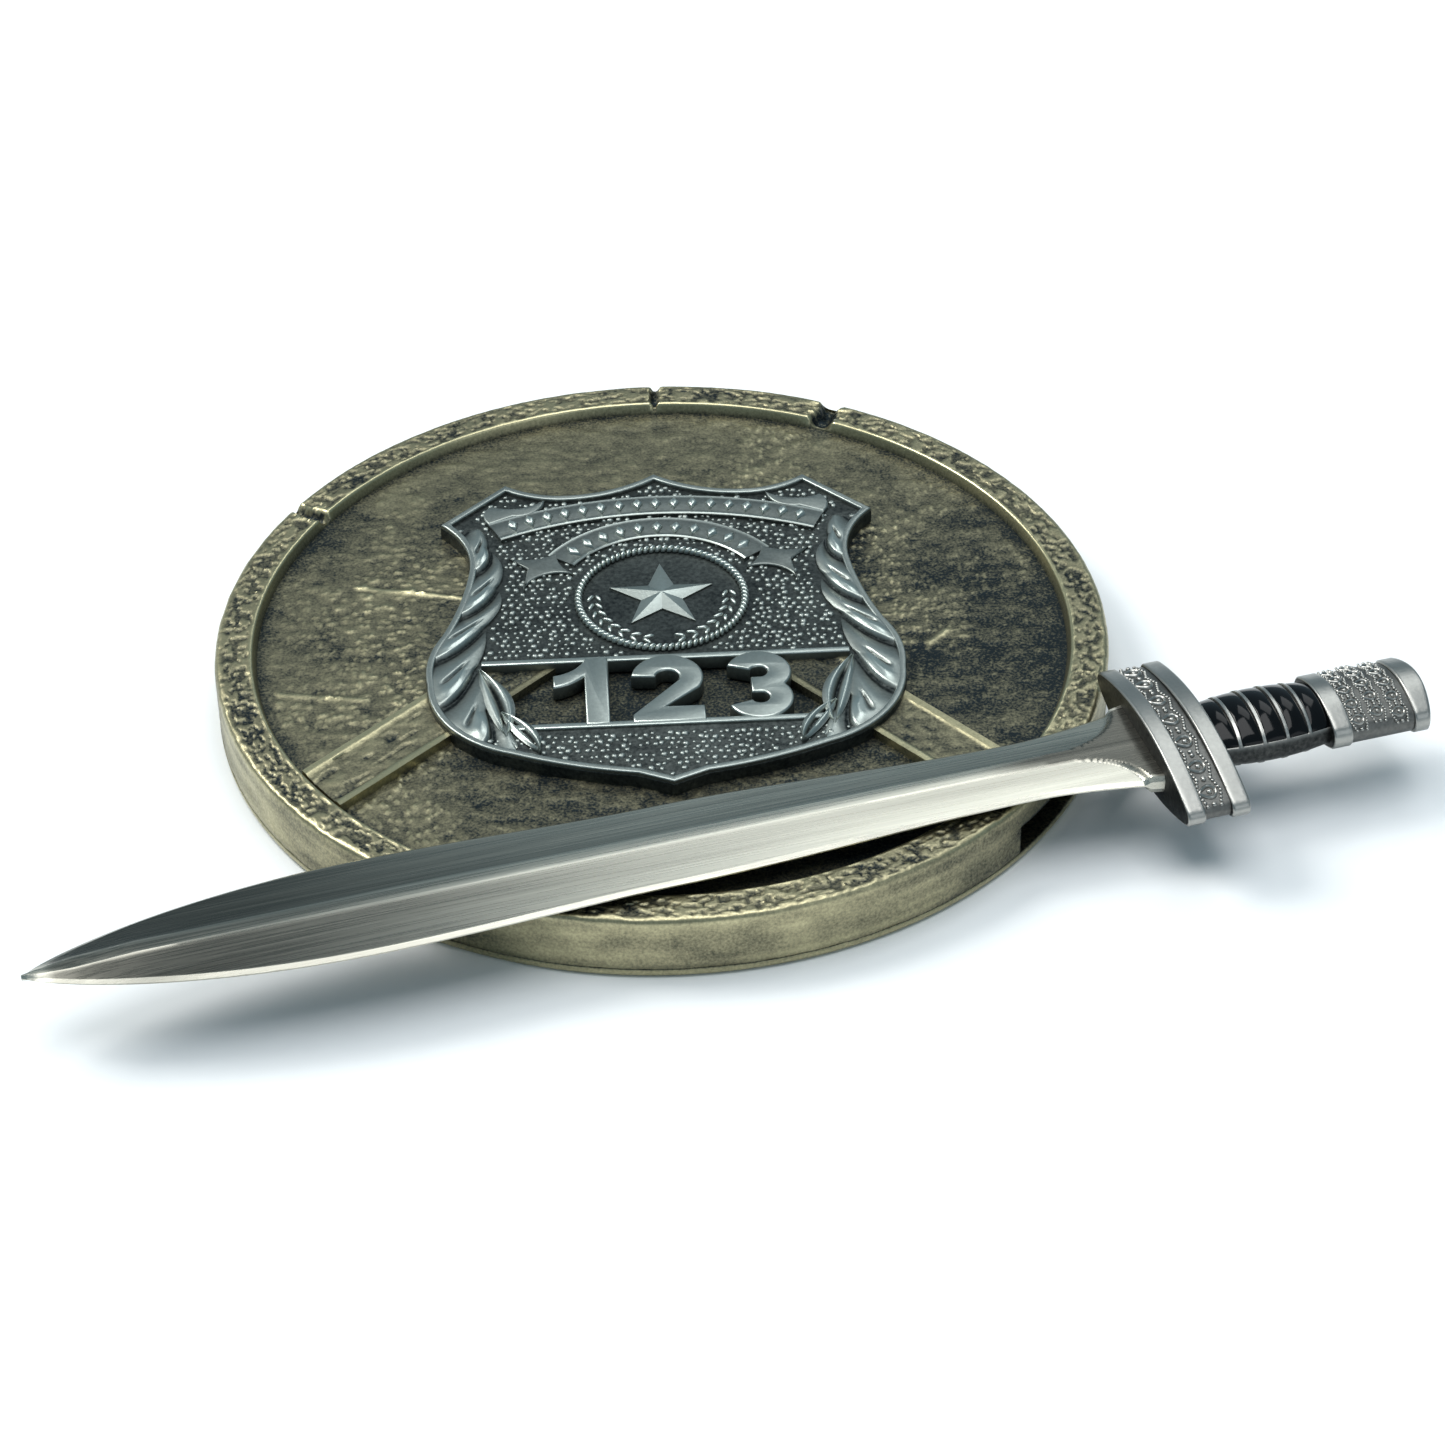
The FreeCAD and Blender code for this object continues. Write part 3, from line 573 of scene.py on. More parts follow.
def brushed_nickel(finish):
    """Nickel plating drawn lengthwise over an abrasive belt.  The real lines are a few hundredths
    of a millimetre apart, and are drawn 0.12 mm apart so that they show."""
    material, tree = blank("brushed_nickel")
    spot = add(tree, "ShaderNodeTexCoord").outputs["Object"]
    aligned = add(tree, "ShaderNodeMapping", {
        "Vector": spot, "Rotation": (0, 0, SWORD_TURN), "Scale": (14 * MM, 0.12 * MM, 0.12 * MM)},
        vector_type="TEXTURE")
    lines = add(tree, "ShaderNodeTexNoise", {"Vector": aligned.outputs[0], "Scale": 1.0,
                                             "Detail": 4.0, "Roughness": 0.65})
    bands = add(tree, "ShaderNodeMapping", {
        "Vector": spot, "Rotation": (0, 0, SWORD_TURN), "Scale": (30 * MM, 0.9 * MM, 0.9 * MM)},
        vector_type="TEXTURE")
    cloud = add(tree, "ShaderNodeTexNoise", {"Vector": bands.outputs[0], "Scale": 1.0, "Detail": 2.0})
    tone = add(tree, "ShaderNodeMapRange", {"Value": cloud.outputs["Fac"], "From Min": 0.3,
                                            "From Max": 0.7, "To Min": 0.8, "To Max": 1.0})
    streak = add(tree, "ShaderNodeMapRange", {"Value": lines.outputs["Fac"], "From Min": 0.3,
                                              "From Max": 0.7, "To Min": 0.72, "To Max": 1.0})
    # the blade's painted dark reflections and painted highlights come in through this attribute
    wear_and_sheen = add(tree, "ShaderNodeMapRange", {
        "Value": add(tree, "ShaderNodeAttribute", attribute_name="wear_and_light").outputs["Fac"],
        "To Min": 0.22, "To Max": 1.0})
    grey = add(tree, "ShaderNodeMath", {0: tone.outputs[0], 1: streak.outputs[0]},
               operation="MULTIPLY")
    shade = add(tree, "ShaderNodeMath", {0: grey.outputs[0], 1: wear_and_sheen.outputs[0]},
                operation="MULTIPLY")
    tint = add(tree, "ShaderNodeMix", {"Factor": 1.0, 6: finish.steel, 7: shade.outputs[0]},
               data_type="RGBA", blend_type="MULTIPLY")
    gloss = add(tree, "ShaderNodeMapRange", {"Value": lines.outputs["Fac"], "From Min": 0.25,
                                             "From Max": 0.75, "To Min": 0.22, "To Max": 0.36})
    scratch = add(tree, "ShaderNodeBump", {"Height": lines.outputs["Fac"], "Strength": 0.2,
                                           "Distance": 0.02 * MM})
    surface = add(tree, "ShaderNodeBsdfPrincipled", {
        "Base Color": tint.outputs[2], "Roughness": gloss.outputs[0], "Metallic": 1.0,
        "Normal": scratch.outputs[0]})
    add(tree, "ShaderNodeOutputMaterial", {"Surface": surface.outputs[0]})
    return material


def black_enamel(finish):
    """Glass-hard black enamel, flowed into its cells: deep, glossy and very slightly uneven."""
    material, tree = blank("black_enamel")
    spot = add(tree, "ShaderNodeTexCoord").outputs["Object"]
    ripple = add(tree, "ShaderNodeTexNoise", {"Vector": spot, "Scale": 1 / (1.4 * MM), "Detail": 2.0})
    flow = add(tree, "ShaderNodeBump", {"Height": ripple.outputs["Fac"], "Strength": 0.12,
                                        "Distance": 0.02 * MM})
    haze = add(tree, "ShaderNodeMapRange", {"Value": ripple.outputs["Fac"], "To Min": 0.07,
                                            "To Max": 0.13})
    depth = add(tree, "ShaderNodeMix", {"Factor": ripple.outputs["Fac"], 6: finish.enamel,
                                        7: linear("#0B0D10")}, data_type="RGBA")
    surface = add(tree, "ShaderNodeBsdfPrincipled", {
        "Base Color": depth.outputs[2], "Roughness": haze.outputs[0], "IOR": 1.3,
        "Normal": flow.outputs[0]})
    add(tree, "ShaderNodeOutputMaterial", {"Surface": surface.outputs[0]})
    return material


def two_tone(name, low, high, size_mm, detail, **surface):
    """A surface that drifts between two close colours, with patches of about the given size."""
    material, tree = blank(name)
    spot = add(tree, "ShaderNodeTexCoord").outputs["Object"]
    patches = add(tree, "ShaderNodeTexNoise", {"Vector": spot, "Scale": 1 / (size_mm * MM),
                                               "Detail": detail})
    tint = add(tree, "ShaderNodeMix", {"Factor": patches.outputs["Fac"], 6: low, 7: high},
               data_type="RGBA")
    body = add(tree, "ShaderNodeBsdfPrincipled", {"Base Color": tint.outputs[2], **surface})
    add(tree, "ShaderNodeOutputMaterial", {"Surface": body.outputs[0]})
    return material


def bare_zinc(finish):
    """Unplated cast zinc of the hidden pegs: dull grey with a coarse frost."""
    return two_tone("bare_zinc", linear("#6F7174"), linear("#9C9EA1"), 0.4, 3.0, Roughness=0.55,
                    Metallic=1.0)


def studio_paper(finish):
    """Matt white sweep paper."""
    return two_tone("studio_paper", finish.floor, linear("#F1F3F4"), 2, 2.0, Roughness=0.9)


FINISHES = {"antique_bronze": antique_bronze, "antique_nickel": antique_nickel,
            "antique_silver": antique_silver, "brushed_nickel": brushed_nickel,
            "black_enamel": black_enamel, "bare_zinc": bare_zinc, "studio_paper": studio_paper}


def plating(name):
    """The finish of that name, made the first time it is asked for."""
    if name not in plated:
        plain = bpy.data.materials.get(name)
        if plain:
            plain.name = name + "_plain"      # the frame's own flat stand-in
        plated[name] = FINISHES[name](bpy.context.scene.coin_finishes)
    return plated[name]


plated = {}


def fit(piece, body, slot, *nodes):
    """Hang a finished piece on its body and hide the CAD nodes it stands for."""
    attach(piece, body)
    if nodes:
        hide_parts(*nodes)


# ---------------------------------------------------------------- the coin
NICKS = ((149.7, 1.3, 0.75), (91.2, 0.75, 0.5), (65.5, 2.3, 0.9))    # angle, width, depth
TUNNEL_TURN = math.radians(-31.0)
SEAM = 0.07                # small bevel each side of the joint between the halves


def rim_nicks(x, y):
    """How deep the old cuts across the rim are, and how bright their lips."""
    depth = np.zeros(np.shape(x))
    lip = np.zeros(np.shape(x))
    for angle, width, deep in NICKS:
        a = math.radians(angle)
        ahead = x * math.cos(a) + y * math.sin(a)
        aside = y * math.cos(a) - x * math.sin(a) + 0.22 * waves(x, y, 0.9, 31)
        away = np.abs(aside) / (width / 2)
        depth = np.maximum(depth, deep * (1 - ramp(away, 0.1, 1.0)) * (ahead > 0))
        lip = np.maximum(lip, np.exp(-((away - 1.15) / 0.3) ** 2) * (ahead > 0))
    return depth, lip


def rim_piece(sizes, metal):
    """Ring with a hammered top, a smooth inner bevel and a rounded outer edge."""
    columns = 1080
    inner = COIN_R - sizes.rim_width
    edge = sizes.edge_round
    profile = [(inner - 0.02, BACK_Z + SEAM, 0.1), (inner - 0.02, FIELD_Z - 0.1, 0.1)]
    profile += [(inner + 0.27 * k, FIELD_Z + (RIM_Z - 0.1 - FIELD_Z) * k, 0.25 + 0.65 * k)
                for k in (0.0, 0.3, 0.6, 0.85, 1.0)]
    profile += [(inner + 0.36, RIM_Z - 0.02, 1.0), (inner + 0.46, RIM_Z, 0.95)]
    tops = np.linspace(inner + 0.55, COIN_R - edge - 0.02, 24)
    profile += [(r, RIM_Z, 0.75) for r in tops]
    for k in range(6):
        a = math.radians(90 - 18 * k)
        profile.append((COIN_R - edge + edge * math.cos(a), RIM_Z - edge + edge * math.sin(a),
                        0.8 if k < 3 else 0.62))
    profile += [(COIN_R, z, 0.5) for z in np.linspace(RIM_Z - edge - 0.3, BACK_Z + SEAM, 9)]
    profile += [(COIN_R - SEAM, BACK_Z, 0.15), (inner - 0.02 + SEAM, BACK_Z, 0.1)]
    radius, a, height, wear_and_light = turned(profile, columns)
    x, y = radius * np.cos(a), radius * np.sin(a)

    on_top = ramp(radius, inner + 0.4, inner + 0.75) * (height > FIELD_Z)
    on_top = on_top * (1 - ramp(radius, COIN_R - edge - 0.25, COIN_R - 0.05))
    bent_x, bent_y = x + 0.22 * waves(x, y, 0.8, 18), y + 0.22 * waves(x, y, 0.8, 19)
    worm = 0.62 * waves(bent_x, bent_y, 0.36, 11) + 0.38 * waves(bent_x, bent_y, 0.22, 12)
    pit = ramp(worm, -0.1, 0.16) * on_top
    wear = waves(x, y, 4.5, 14)
    height = height - sizes.pit_depth * pit + 0.05 * on_top * waves(x, y, 1.7, 15)
    wear_and_light = wear_and_light - 0.22 * on_top - 0.4 * pit + 0.12 * wear * on_top
    # the outer edge and wall carry shallow handling dents
    dents = 0.05 * waves(a * COIN_R, height, 2.4, 16) + 0.02 * waves(a * COIN_R, height, 0.7, 17)
    outside = ramp(radius, COIN_R - edge, COIN_R)
    radius = radius - np.abs(dents) * outside
    around = a * COIN_R
    brushed = 0.6 * waves(around / 9, height, 0.55, 45) + 0.4 * waves(around / 3, height, 0.8, 46)
    wall = ramp(radius, COIN_R - 0.1, COIN_R - 0.03)
    wear_and_light = wear_and_light + 2.0 * dents * outside
    wear_and_light = wear_and_light + (0.3 * brushed + 0.2 * waves(around, 0 * a, 8.0, 47)) * wall
    depth, lip = rim_nicks(x, y)
    raised = ramp(height, FIELD_Z + 0.1, RIM_Z - 0.2)
    height = height - depth * raised
    wear_and_light = np.clip(wear_and_light + (0.5 * lip - 0.55 * (depth > 0.25)) * raised, 0, 1)
    points = np.stack([radius * np.cos(a), radius * np.sin(a), height], -1)
    faces = grid_faces(len(profile), columns, wrap_rows=True, wrap_columns=True)
    return solid("coin_rim", points.reshape(-1, 3), faces, metal, ROW_PLACE, wear_and_light, sharp=50)


CRACKS = (((-22.1, 6.6), (-14.2, 5.2), 0.22, 1.0), ((-26.8, -6.1), (-20.6, -6.6), 0.16, 0.8),
          ((19.0, -1.2), (20.3, 0.3), 0.25, 0.7), ((-13.5, -22.4), (-12.6, -23.2), 0.2, 0.8))


def badge_painted_shade(x, y):
    """Places under the badge and in its window, where the badge's shade is painted darker onto the field and
    straps.
    """
    return (1 - ramp(np.abs(x), 12.5, 14.5)) * (1 - ramp(np.abs(y + 1), 13.0, 15.0))


def field_relief(x, y, sizes):
    """Sandy, streaked ground with a few raised cracks.  Gives height, and wear with painted light and shade."""
    streak = waves(x, y * 3.2, 2.6, 21) * 0.5 + waves(x, y * 2.4, 0.9, 22) * 0.5
    rough = waves(x, y, 1.1, 23) * 0.5 + waves(x, y, 0.45, 24) * 0.5
    patch = 0.35 * waves(x, y, 9.0, 25) + 0.4 * waves(x, y, 4.0, 26)
    left = ramp(-x, 4, 24) * ramp(-y + 14, 0, 14) + 0.45 * ramp(x + y * 0.6, 10, 26) * ramp(y, -4, 8)
    sandy = ramp(patch + 0.55 * left, 0.05, 0.75)
    away, number = grains(x, y, 0.55, 27)
    grain = (1 - ramp(away, 0.12, 0.42)) * (number > 0.55) * (0.25 + 0.75 * sandy)
    height = 0.05 * streak + 0.045 * rough + sizes.grain_height * grain
    wear_and_light = 0.13 + 0.13 * streak + 0.13 * rough + 0.2 * sandy * (0.55 + 0.45 * rough) + 0.6 * grain
    # painted light: lighter to the left and at the top, darker to the right, as the light falls across the coin
    wear_and_light = wear_and_light + 0.07 * ramp(np.hypot(x, y), 14, 27) * left - 0.06 * ramp(x, -4, 16)
    wear_and_light = wear_and_light + 0.16 * ramp(y, 8, 24)
    # painted shade: the field is darker under the badge and in its window
    wear_and_light = wear_and_light * (1 - 0.65 * badge_painted_shade(x, y))
    for (ax, ay), (bx, by), width, rise in CRACKS:
        dx, dy = bx - ax, by - ay
        part = np.clip(((x - ax) * dx + (y - ay) * dy) / (dx * dx + dy * dy), 0, 1)
        off = np.hypot(x - ax - part * dx, y - ay - part * dy - 0.12 * waves(x, y, 1.5, 29))
        ridge = np.exp(-(off / width) ** 2)
        height = height + 0.16 * rise * ridge
        wear_and_light = wear_and_light + 0.85 * rise * ridge
    # darker in a band along the foot of the rim: patina in the corner, and painted shade
    edge = ramp(np.hypot(x, y), COIN_R - sizes.rim_width - 1.3, COIN_R - sizes.rim_width)
    return height * (1 - 0.6 * edge), np.clip(wear_and_light * (1 - 0.75 * edge), 0.02, 1)


def field_disc(sizes, metal):
    """The sunk face, down to the joint between the halves."""
    columns = 720
    outer = COIN_R - sizes.rim_width
    radii = np.concatenate([np.linspace(1.0, 11.0, 12), np.linspace(11.25, outer + 0.005, 84)])
    angles = np.linspace(0, 2 * math.pi, columns, endpoint=False)
    radius, a = np.meshgrid(radii, angles, indexing="ij")
    x, y = radius * np.cos(a), radius * np.sin(a)
    height, wear_and_light = field_relief(x, y, sizes)
    top = np.stack([x, y, FIELD_Z + height], -1)
    foot = top[-1:].copy()
    foot[..., 2] = BACK_Z
    points = np.concatenate([top, foot])
    wear_and_light = np.concatenate([wear_and_light, np.full((1, columns), 0.1)])
    return loft("coin_field", points, metal, ROW_PLACE, wear_and_light, sharp=60)


STRAP_APEX = (0.0, 6.9)
STRAP_DROP = 46.3
STRAP_START = 7.0          # hidden under the badge


def strap(sizes, side, metal):
    """One raised strap: smooth raised borders, a rough sunk middle and a few slashes."""
    a = math.radians(-STRAP_DROP if side > 0 else 180 + STRAP_DROP)
    ahead = np.array([math.cos(a), math.sin(a)])
    aside = np.array([-math.sin(a), math.cos(a)]) * side
    outer = COIN_R - sizes.rim_width + 0.1
    edges = []
    for offset in (-sizes.strap_width / 2, sizes.strap_width / 2):
        base = np.array(STRAP_APEX) + aside * offset
        behind = base @ ahead
        far = -behind + math.sqrt(behind ** 2 - base @ base + outer ** 2)
        steps = np.linspace(STRAP_START, far, 170)
        edges.append(base + steps[:, None] * ahead)

    def relief(u, v, x, y):
        border = 1 - ramp(np.minimum(v, 1 - v), 0.1, 0.16)
        # painted highlight along the strap's lower edge
        lower = np.exp(-((v - 0.06) / 0.03) ** 2)
        along = x * ahead[0] + y * ahead[1]
        over = x * aside[0] + y * aside[1]
        rough = 0.5 * waves(along, over * 2.2, 0.9, 41) + 0.5 * waves(along, over, 0.4, 42)
        slash = ramp(waves(along * 0.6, over * 2.6, 0.8, 43), 0.35, 0.7) * (side < 0)
        height = sizes.strap_height - (1 - border) * (0.12 - 0.05 * rough + 0.1 * slash)
        height = height + 0.3 + 0.02 * waves(along, over, 1.5, 44)
        wear_and_light = 0.28 + 0.5 * border + 0.5 * lower + (1 - border) * (0.25 * rough - 0.2 * slash)
        # painted shade where the badge lies over the straps
        wear_and_light = (wear_and_light + 0.12 * (side < 0)) * (1 - 0.6 * badge_painted_shade(x, y))
        return height, np.clip(wear_and_light, 0, 1)

    return strip("strap", edges[0], edges[1], 44, FIELD_Z - 0.3, relief, metal, ROW_PLACE, 50)


def tunnel_cutter(sizes, metal):
    half = sizes.tunnel_width / 2
    return brick((-2 * COIN_R, -half, -1), (2 * COIN_R, half, BACK_Z + sizes.tunnel_height),
                 TUNNEL_TURN, metal)


class COIN_OT_rim(bpy.types.Operator):
    """Hammered rim and side wall of the front half, with the mouths of the blade's tunnel"""
    bl_idname = "coin.rim"
    bl_label = "Rim"

    def execute(self, context):
        sizes = context.scene.coin_sizes
        metal = plating("antique_bronze")
        piece = cut(rim_piece(sizes, metal), tunnel_cutter(sizes, metal))
        fit(piece, "coin", "antique_bronze", "coin_front")
        return {"FINISHED"}


class COIN_OT_field(bpy.types.Operator):
    """Sunk field of the front half with its two straps"""
    bl_idname = "coin.field"
    bl_label = "Field and straps"

    def execute(self, context):
        sizes = context.scene.coin_sizes
        metal = plating("antique_bronze")
        field = cut(field_disc(sizes, metal), tunnel_cutter(sizes, metal))
        fit(field, "coin", "antique_bronze", "coin_front")
        straps = joined("coin_straps", [strap(sizes, 1, metal), strap(sizes, -1, metal)])
        fit(straps, "coin", "antique_bronze", "coin_front")
        return {"FINISHED"}


BACK_SINK = 0.25
BACK_BOSS_R = 9.0


class COIN_OT_back(bpy.types.Operator):
    """Back plate with a sunk ring, a flat boss and a circle of beads"""
    bl_idname = "coin.back"
    bl_label = "Back plate"

    def execute(self, context):
        sizes = context.scene.coin_sizes
        metal = plating("antique_bronze")
        edge = sizes.edge_round
        inner = COIN_R - sizes.rim_width
        profile = [(0.4, 0.0, 0.6), (BACK_BOSS_R - 0.15, 0.0, 0.7), (BACK_BOSS_R, 0.06, 0.5),
                   (BACK_BOSS_R + 0.1, BACK_SINK, 0.15)]
        profile += [(r, BACK_SINK, 0.25) for r in np.linspace(BACK_BOSS_R + 0.4, inner - 0.4, 74)]
        profile += [(inner - 0.1, BACK_SINK, 0.15), (inner, 0.06, 0.5), (inner + 0.15, 0.0, 0.75)]
        profile += [(r, 0.0, 0.75) for r in np.linspace(inner + 0.4, COIN_R - edge, 7)]
        for k in range(1, 6):
            a = math.radians(-90 + 18 * k)
            profile.append((COIN_R - edge + edge * math.cos(a), edge + edge * math.sin(a), 0.8))
        profile += [(COIN_R, BACK_Z - SEAM, 0.6), (COIN_R - SEAM, BACK_Z, 0.15), (0.4, BACK_Z, 0.2)]
        radius, a, height, wear_and_light = turned(profile, 600)
        x, y = radius * np.cos(a), radius * np.sin(a)
        sunk = ramp(radius, BACK_BOSS_R + 0.3, BACK_BOSS_R + 0.9) * (height < BACK_Z - 0.1)
        sunk = sunk * (1 - ramp(radius, inner - 0.9, inner - 0.3))
        hammer = 0.6 * waves(x, y, 1.0, 51) + 0.4 * waves(x, y, 0.5, 52)
        height = height - 0.06 * ramp(hammer, 0, 0.5) * sunk
        wear_and_light = np.clip(wear_and_light + 0.45 * ramp(hammer, 0, 0.5) * sunk, 0, 1)
        plate = loft("coin_back_plate", np.stack([x, y, height], -1), metal, ROW_PLACE, wear_and_light)
        fit(plate, "coin", "antique_bronze", "coin_back")

        spots, turns = [], []
        for radius, count in ((BACK_BOSS_R + 1.2, 64), (inner - 1.2, 176)):
            for number in range(count):
                a = 2 * math.pi * number / count
                spots.append((radius * math.cos(a), radius * math.sin(a), BACK_SINK))
                turns.append((math.pi, 0, a))
        beads = repeated("back_beads", spots, turns, bead(0.36, 0.6, metal), metal, ROW_PLACE)
        fit(beads, "coin", "antique_bronze", "coin_back")
        return {"FINISHED"}


class COIN_OT_pegs(bpy.types.Operator):
    """Plain zinc for the hidden pegs and posts"""
    bl_idname = "coin.pegs"
    bl_label = "Hidden pegs"

    def execute(self, context):
        for name in ("coin_dowels", "badge_posts"):
            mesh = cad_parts[name].data
            mesh.materials.clear()
            mesh.materials.append(plating("bare_zinc"))
        return {"FINISHED"}


# ---------------------------------------------------------------- the shield badge
SHIELD_HALF = [
    (0.0, 18.85), ("arc", 4.2, 16.8), (7.0, 16.5), ("arc", 9.2, 17.0), (11.1, 18.1),
    (15.9, 13.3), ("arc", 14.2, 10.6), (13.8, 7.6), ("arc", 14.6, 3.2), (15.8, -0.4),
    ("arc", 16.9, -4.4), (16.8, -6.0), ("arc", 15.5, -10.6), (10.9, -14.2),
    ("arc", 5.6, -16.1), (2.4, -16.8), (0.0, -17.9)]
LEAF_OUTER = [
    (15.4, 13.2), ("arc", 14.05, 10.6), (13.7, 7.6), ("arc", 14.5, 3.2), (15.7, -0.4),
    ("arc", 16.8, -4.4), (16.7, -6.0), ("arc", 15.4, -10.55), (10.9, -14.1)]
LEAF_INNER = [
    (13.6, 13.4), ("arc", 11.6, 7.4), (12.2, 1.6), ("arc", 13.1, -3.0), (12.9, -7.2),
    ("arc", 11.7, -10.6), (10.4, -12.9)]
WINDOW_TOP_Y, WINDOW_LOW_Y = -3.6, -11.3
WINDOW_TOP_X, WINDOW_LOW_X = 12.9, 10.7
BADGE_BEVEL = 0.1


def mirror_items(items):
    return [("arc", -i[1], i[2]) if i[0] == "arc" else (-i[0], i[1]) for i in items]


def shield_loop():
    return outline(SHIELD_HALF + mirror_items(SHIELD_HALF[1:-1])[::-1])


def window_loop():
    middle = (WINDOW_TOP_Y + WINDOW_LOW_Y) / 2
    return outline([
        (WINDOW_TOP_X, WINDOW_TOP_Y), (-WINDOW_TOP_X, WINDOW_TOP_Y),
        ("arc", -WINDOW_TOP_X + 0.4, middle), (-WINDOW_LOW_X, WINDOW_LOW_Y),
        (WINDOW_LOW_X, WINDOW_LOW_Y), ("arc", WINDOW_TOP_X - 0.4, middle)])


class BADGE_OT_plate(bpy.types.Operator):
    """Shield plate with its raised line and pebbled ground"""
    bl_idname = "badge.plate"
    bl_label = "Shield plate"

    def execute(self, context):
        sizes = context.scene.badge_sizes
        metal = plating("antique_nickel")
        shield = shield_loop()
        plate = plaque("shield_plate", [shield, window_loop()], FIELD_Z - 0.02, PLATE_Z, BADGE_BEVEL,
                       metal, BADGE_PLACE, (0.12, 0.08))
        fit(plate, "coin", "antique_nickel", "badge_plate")
        rail = plaque("shield_rail", [inset(shield, 0.03), inset(shield, sizes.rail_width)],
                      PLATE_Z - 0.25, PLATE_Z + 0.3, 0.13, metal, BADGE_PLACE, (0.06, 0.66))
        fit(rail, "coin", "antique_nickel", "badge_plate")

        pitch = sizes.pebble_pitch
        columns, rows = np.meshgrid(np.arange(-30, 31), np.arange(-34, 36))
        x = (columns + 0.5 * (rows % 2) + 0.55 * (hashed(columns, rows, 61) - 0.5)) * pitch
        y = (rows + 0.5 * (hashed(columns, rows, 62) - 0.5)) * pitch
        ring_away = np.hypot(x, y - RING_Y)
        leaf_x = np.interp(y, *np.array(sorted((p[1], p[0]) for p in outline(LEAF_INNER, False))).T)
        keep = inside(inset(shield, sizes.rail_width + 0.3), x, y)
        keep &= (y > WINDOW_TOP_Y + 0.35) | (y < WINDOW_LOW_Y - 0.6)
        keep &= (np.abs(x) < leaf_x - 0.35) | (y < -12.0)
        keep &= (ring_away > 6.7) & (hashed(columns, rows, 63) > 0.1)
        spots = np.stack([x[keep], y[keep], np.full(keep.sum(), PLATE_Z - 0.02)], 1)
        turns = np.zeros_like(spots)
        turns[:, 2] = 3.0 * hashed(columns, rows, 64)[keep]
        pebbles = repeated("pebbles", spots, turns, bead(0.23, 0.8, metal, 6, 3, 1.2, 0.52), metal,
                           BADGE_PLACE, (0.5, 1.2), 5)
        fit(pebbles, "coin", "antique_nickel", "badge_plate")
        return {"FINISHED"}


LEAF_COUNT = 5.6


def leaf_turn(u, v):
    """Where along its own length each leaf of the moulding is, 0 at its root and 1 at its tip."""
    turn = u * LEAF_COUNT - 0.5 * v - 0.18 * np.sin(math.pi * v) + 0.3
    return turn - np.floor(turn)


def leaf_relief(u, v, x, y):
    """Long leaves wound round a moulding, each lapping over the next."""
    leaf = leaf_turn(u, v)
    round_over = np.sqrt(np.clip(1 - (2 * v - 1) ** 2 * 0.85, 0, 1))
    lap = ramp(leaf, -0.1, 0.45) * (1 - ramp(leaf, 0.9, 0.995))
    vein = np.exp(-((leaf - 0.56) / 0.045) ** 2) * ramp(v, 0.2, 0.38) * (1 - ramp(v, 0.6, 0.8))
    facet = np.exp(-((leaf - 0.78) / 0.1) ** 2) * ramp(v, 0.12, 0.4) * (1 - ramp(v, 0.62, 0.92))
    gap = np.exp(-((leaf - 0.02) / 0.05) ** 2) + np.exp(-((leaf - 0.99) / 0.03) ** 2)
    taper = ramp(u, 0, 0.04) * (1 - 0.6 * ramp(u, 0.93, 1.0))
    height = (0.08 + 0.44 * lap * round_over + 0.12 * facet - 0.2 * vein) * taper
    wear_and_light = 0.1 + 0.62 * lap * round_over + 0.5 * facet - 0.6 * vein - 0.4 * gap
    return height, np.clip(wear_and_light, 0.02, 1)


def leaf_blade(root, tip, width, sag, metal, side):
    """One pointed leaf with raised margins and a dark slit down its middle."""
    root, tip = np.array(root), np.array(tip)
    along = (tip - root) / np.linalg.norm(tip - root)
    aside = np.array([-along[1], along[0]])
    u = np.linspace(0, 1, 40)
    spine = root + u[:, None] * (tip - root) + (sag * np.sin(math.pi * u))[:, None] * aside
    half = (width / 2 * np.sin(math.pi * np.clip(u, 0.02, 0.98)) ** 0.8)[:, None] * aside
    low, high = spine - half, spine + half
    low[:, 0] *= side
    high[:, 0] *= side

    def relief(u, v, x, y):
        off = np.abs(2 * v - 1)
        margin = np.exp(-((off - 0.55) / 0.3) ** 2)
        slit = np.exp(-(off / 0.16) ** 2) * ramp(u, 0.1, 0.3) * (1 - ramp(u, 0.7, 0.9))
        height = 0.28 + 0.22 * margin - 0.28 * slit
        return height, np.clip(0.35 + 0.55 * margin - 0.5 * slit, 0.02, 1)

    return strip("leaf", low, high, 20, PLATE_Z - 0.1, relief, metal, BADGE_PLACE)


class BADGE_OT_leaves(bpy.types.Operator):
    """Leaf-wound mouldings down both sides of the shield"""
    bl_idname = "badge.leaves"
    bl_label = "Leaf borders"

    def execute(self, context):
        metal = plating("antique_nickel")
        for side, name in ((1, "leaf_border_right"), (-1, "leaf_border_left")):
            outer = evened(outline(LEAF_OUTER, False), 330) * [side, 1]
            inner = evened(outline(LEAF_INNER, False), 330)
            bulge = np.sin(math.pi * leaf_turn(np.linspace(0, 1, 330), 0.0))
            inner[:, 0] -= 0.45 * bulge - 0.2
            inner *= [side, 1]
            parts = [strip("moulding", inner, outer, 34, PLATE_Z - 0.12, leaf_relief, metal,
                           BADGE_PLACE, 50)]
            parts.append(leaf_blade((13.1, -4.6), (11.3, -12.2), 2.0, -0.45, metal, side))
            parts.append(leaf_blade((11.6, -9.6), (9.0, -14.0), 1.5, -0.3, metal, side))
            fit(joined(name + "_leaves", parts), "coin", "antique_nickel", name)
        return {"FINISHED"}


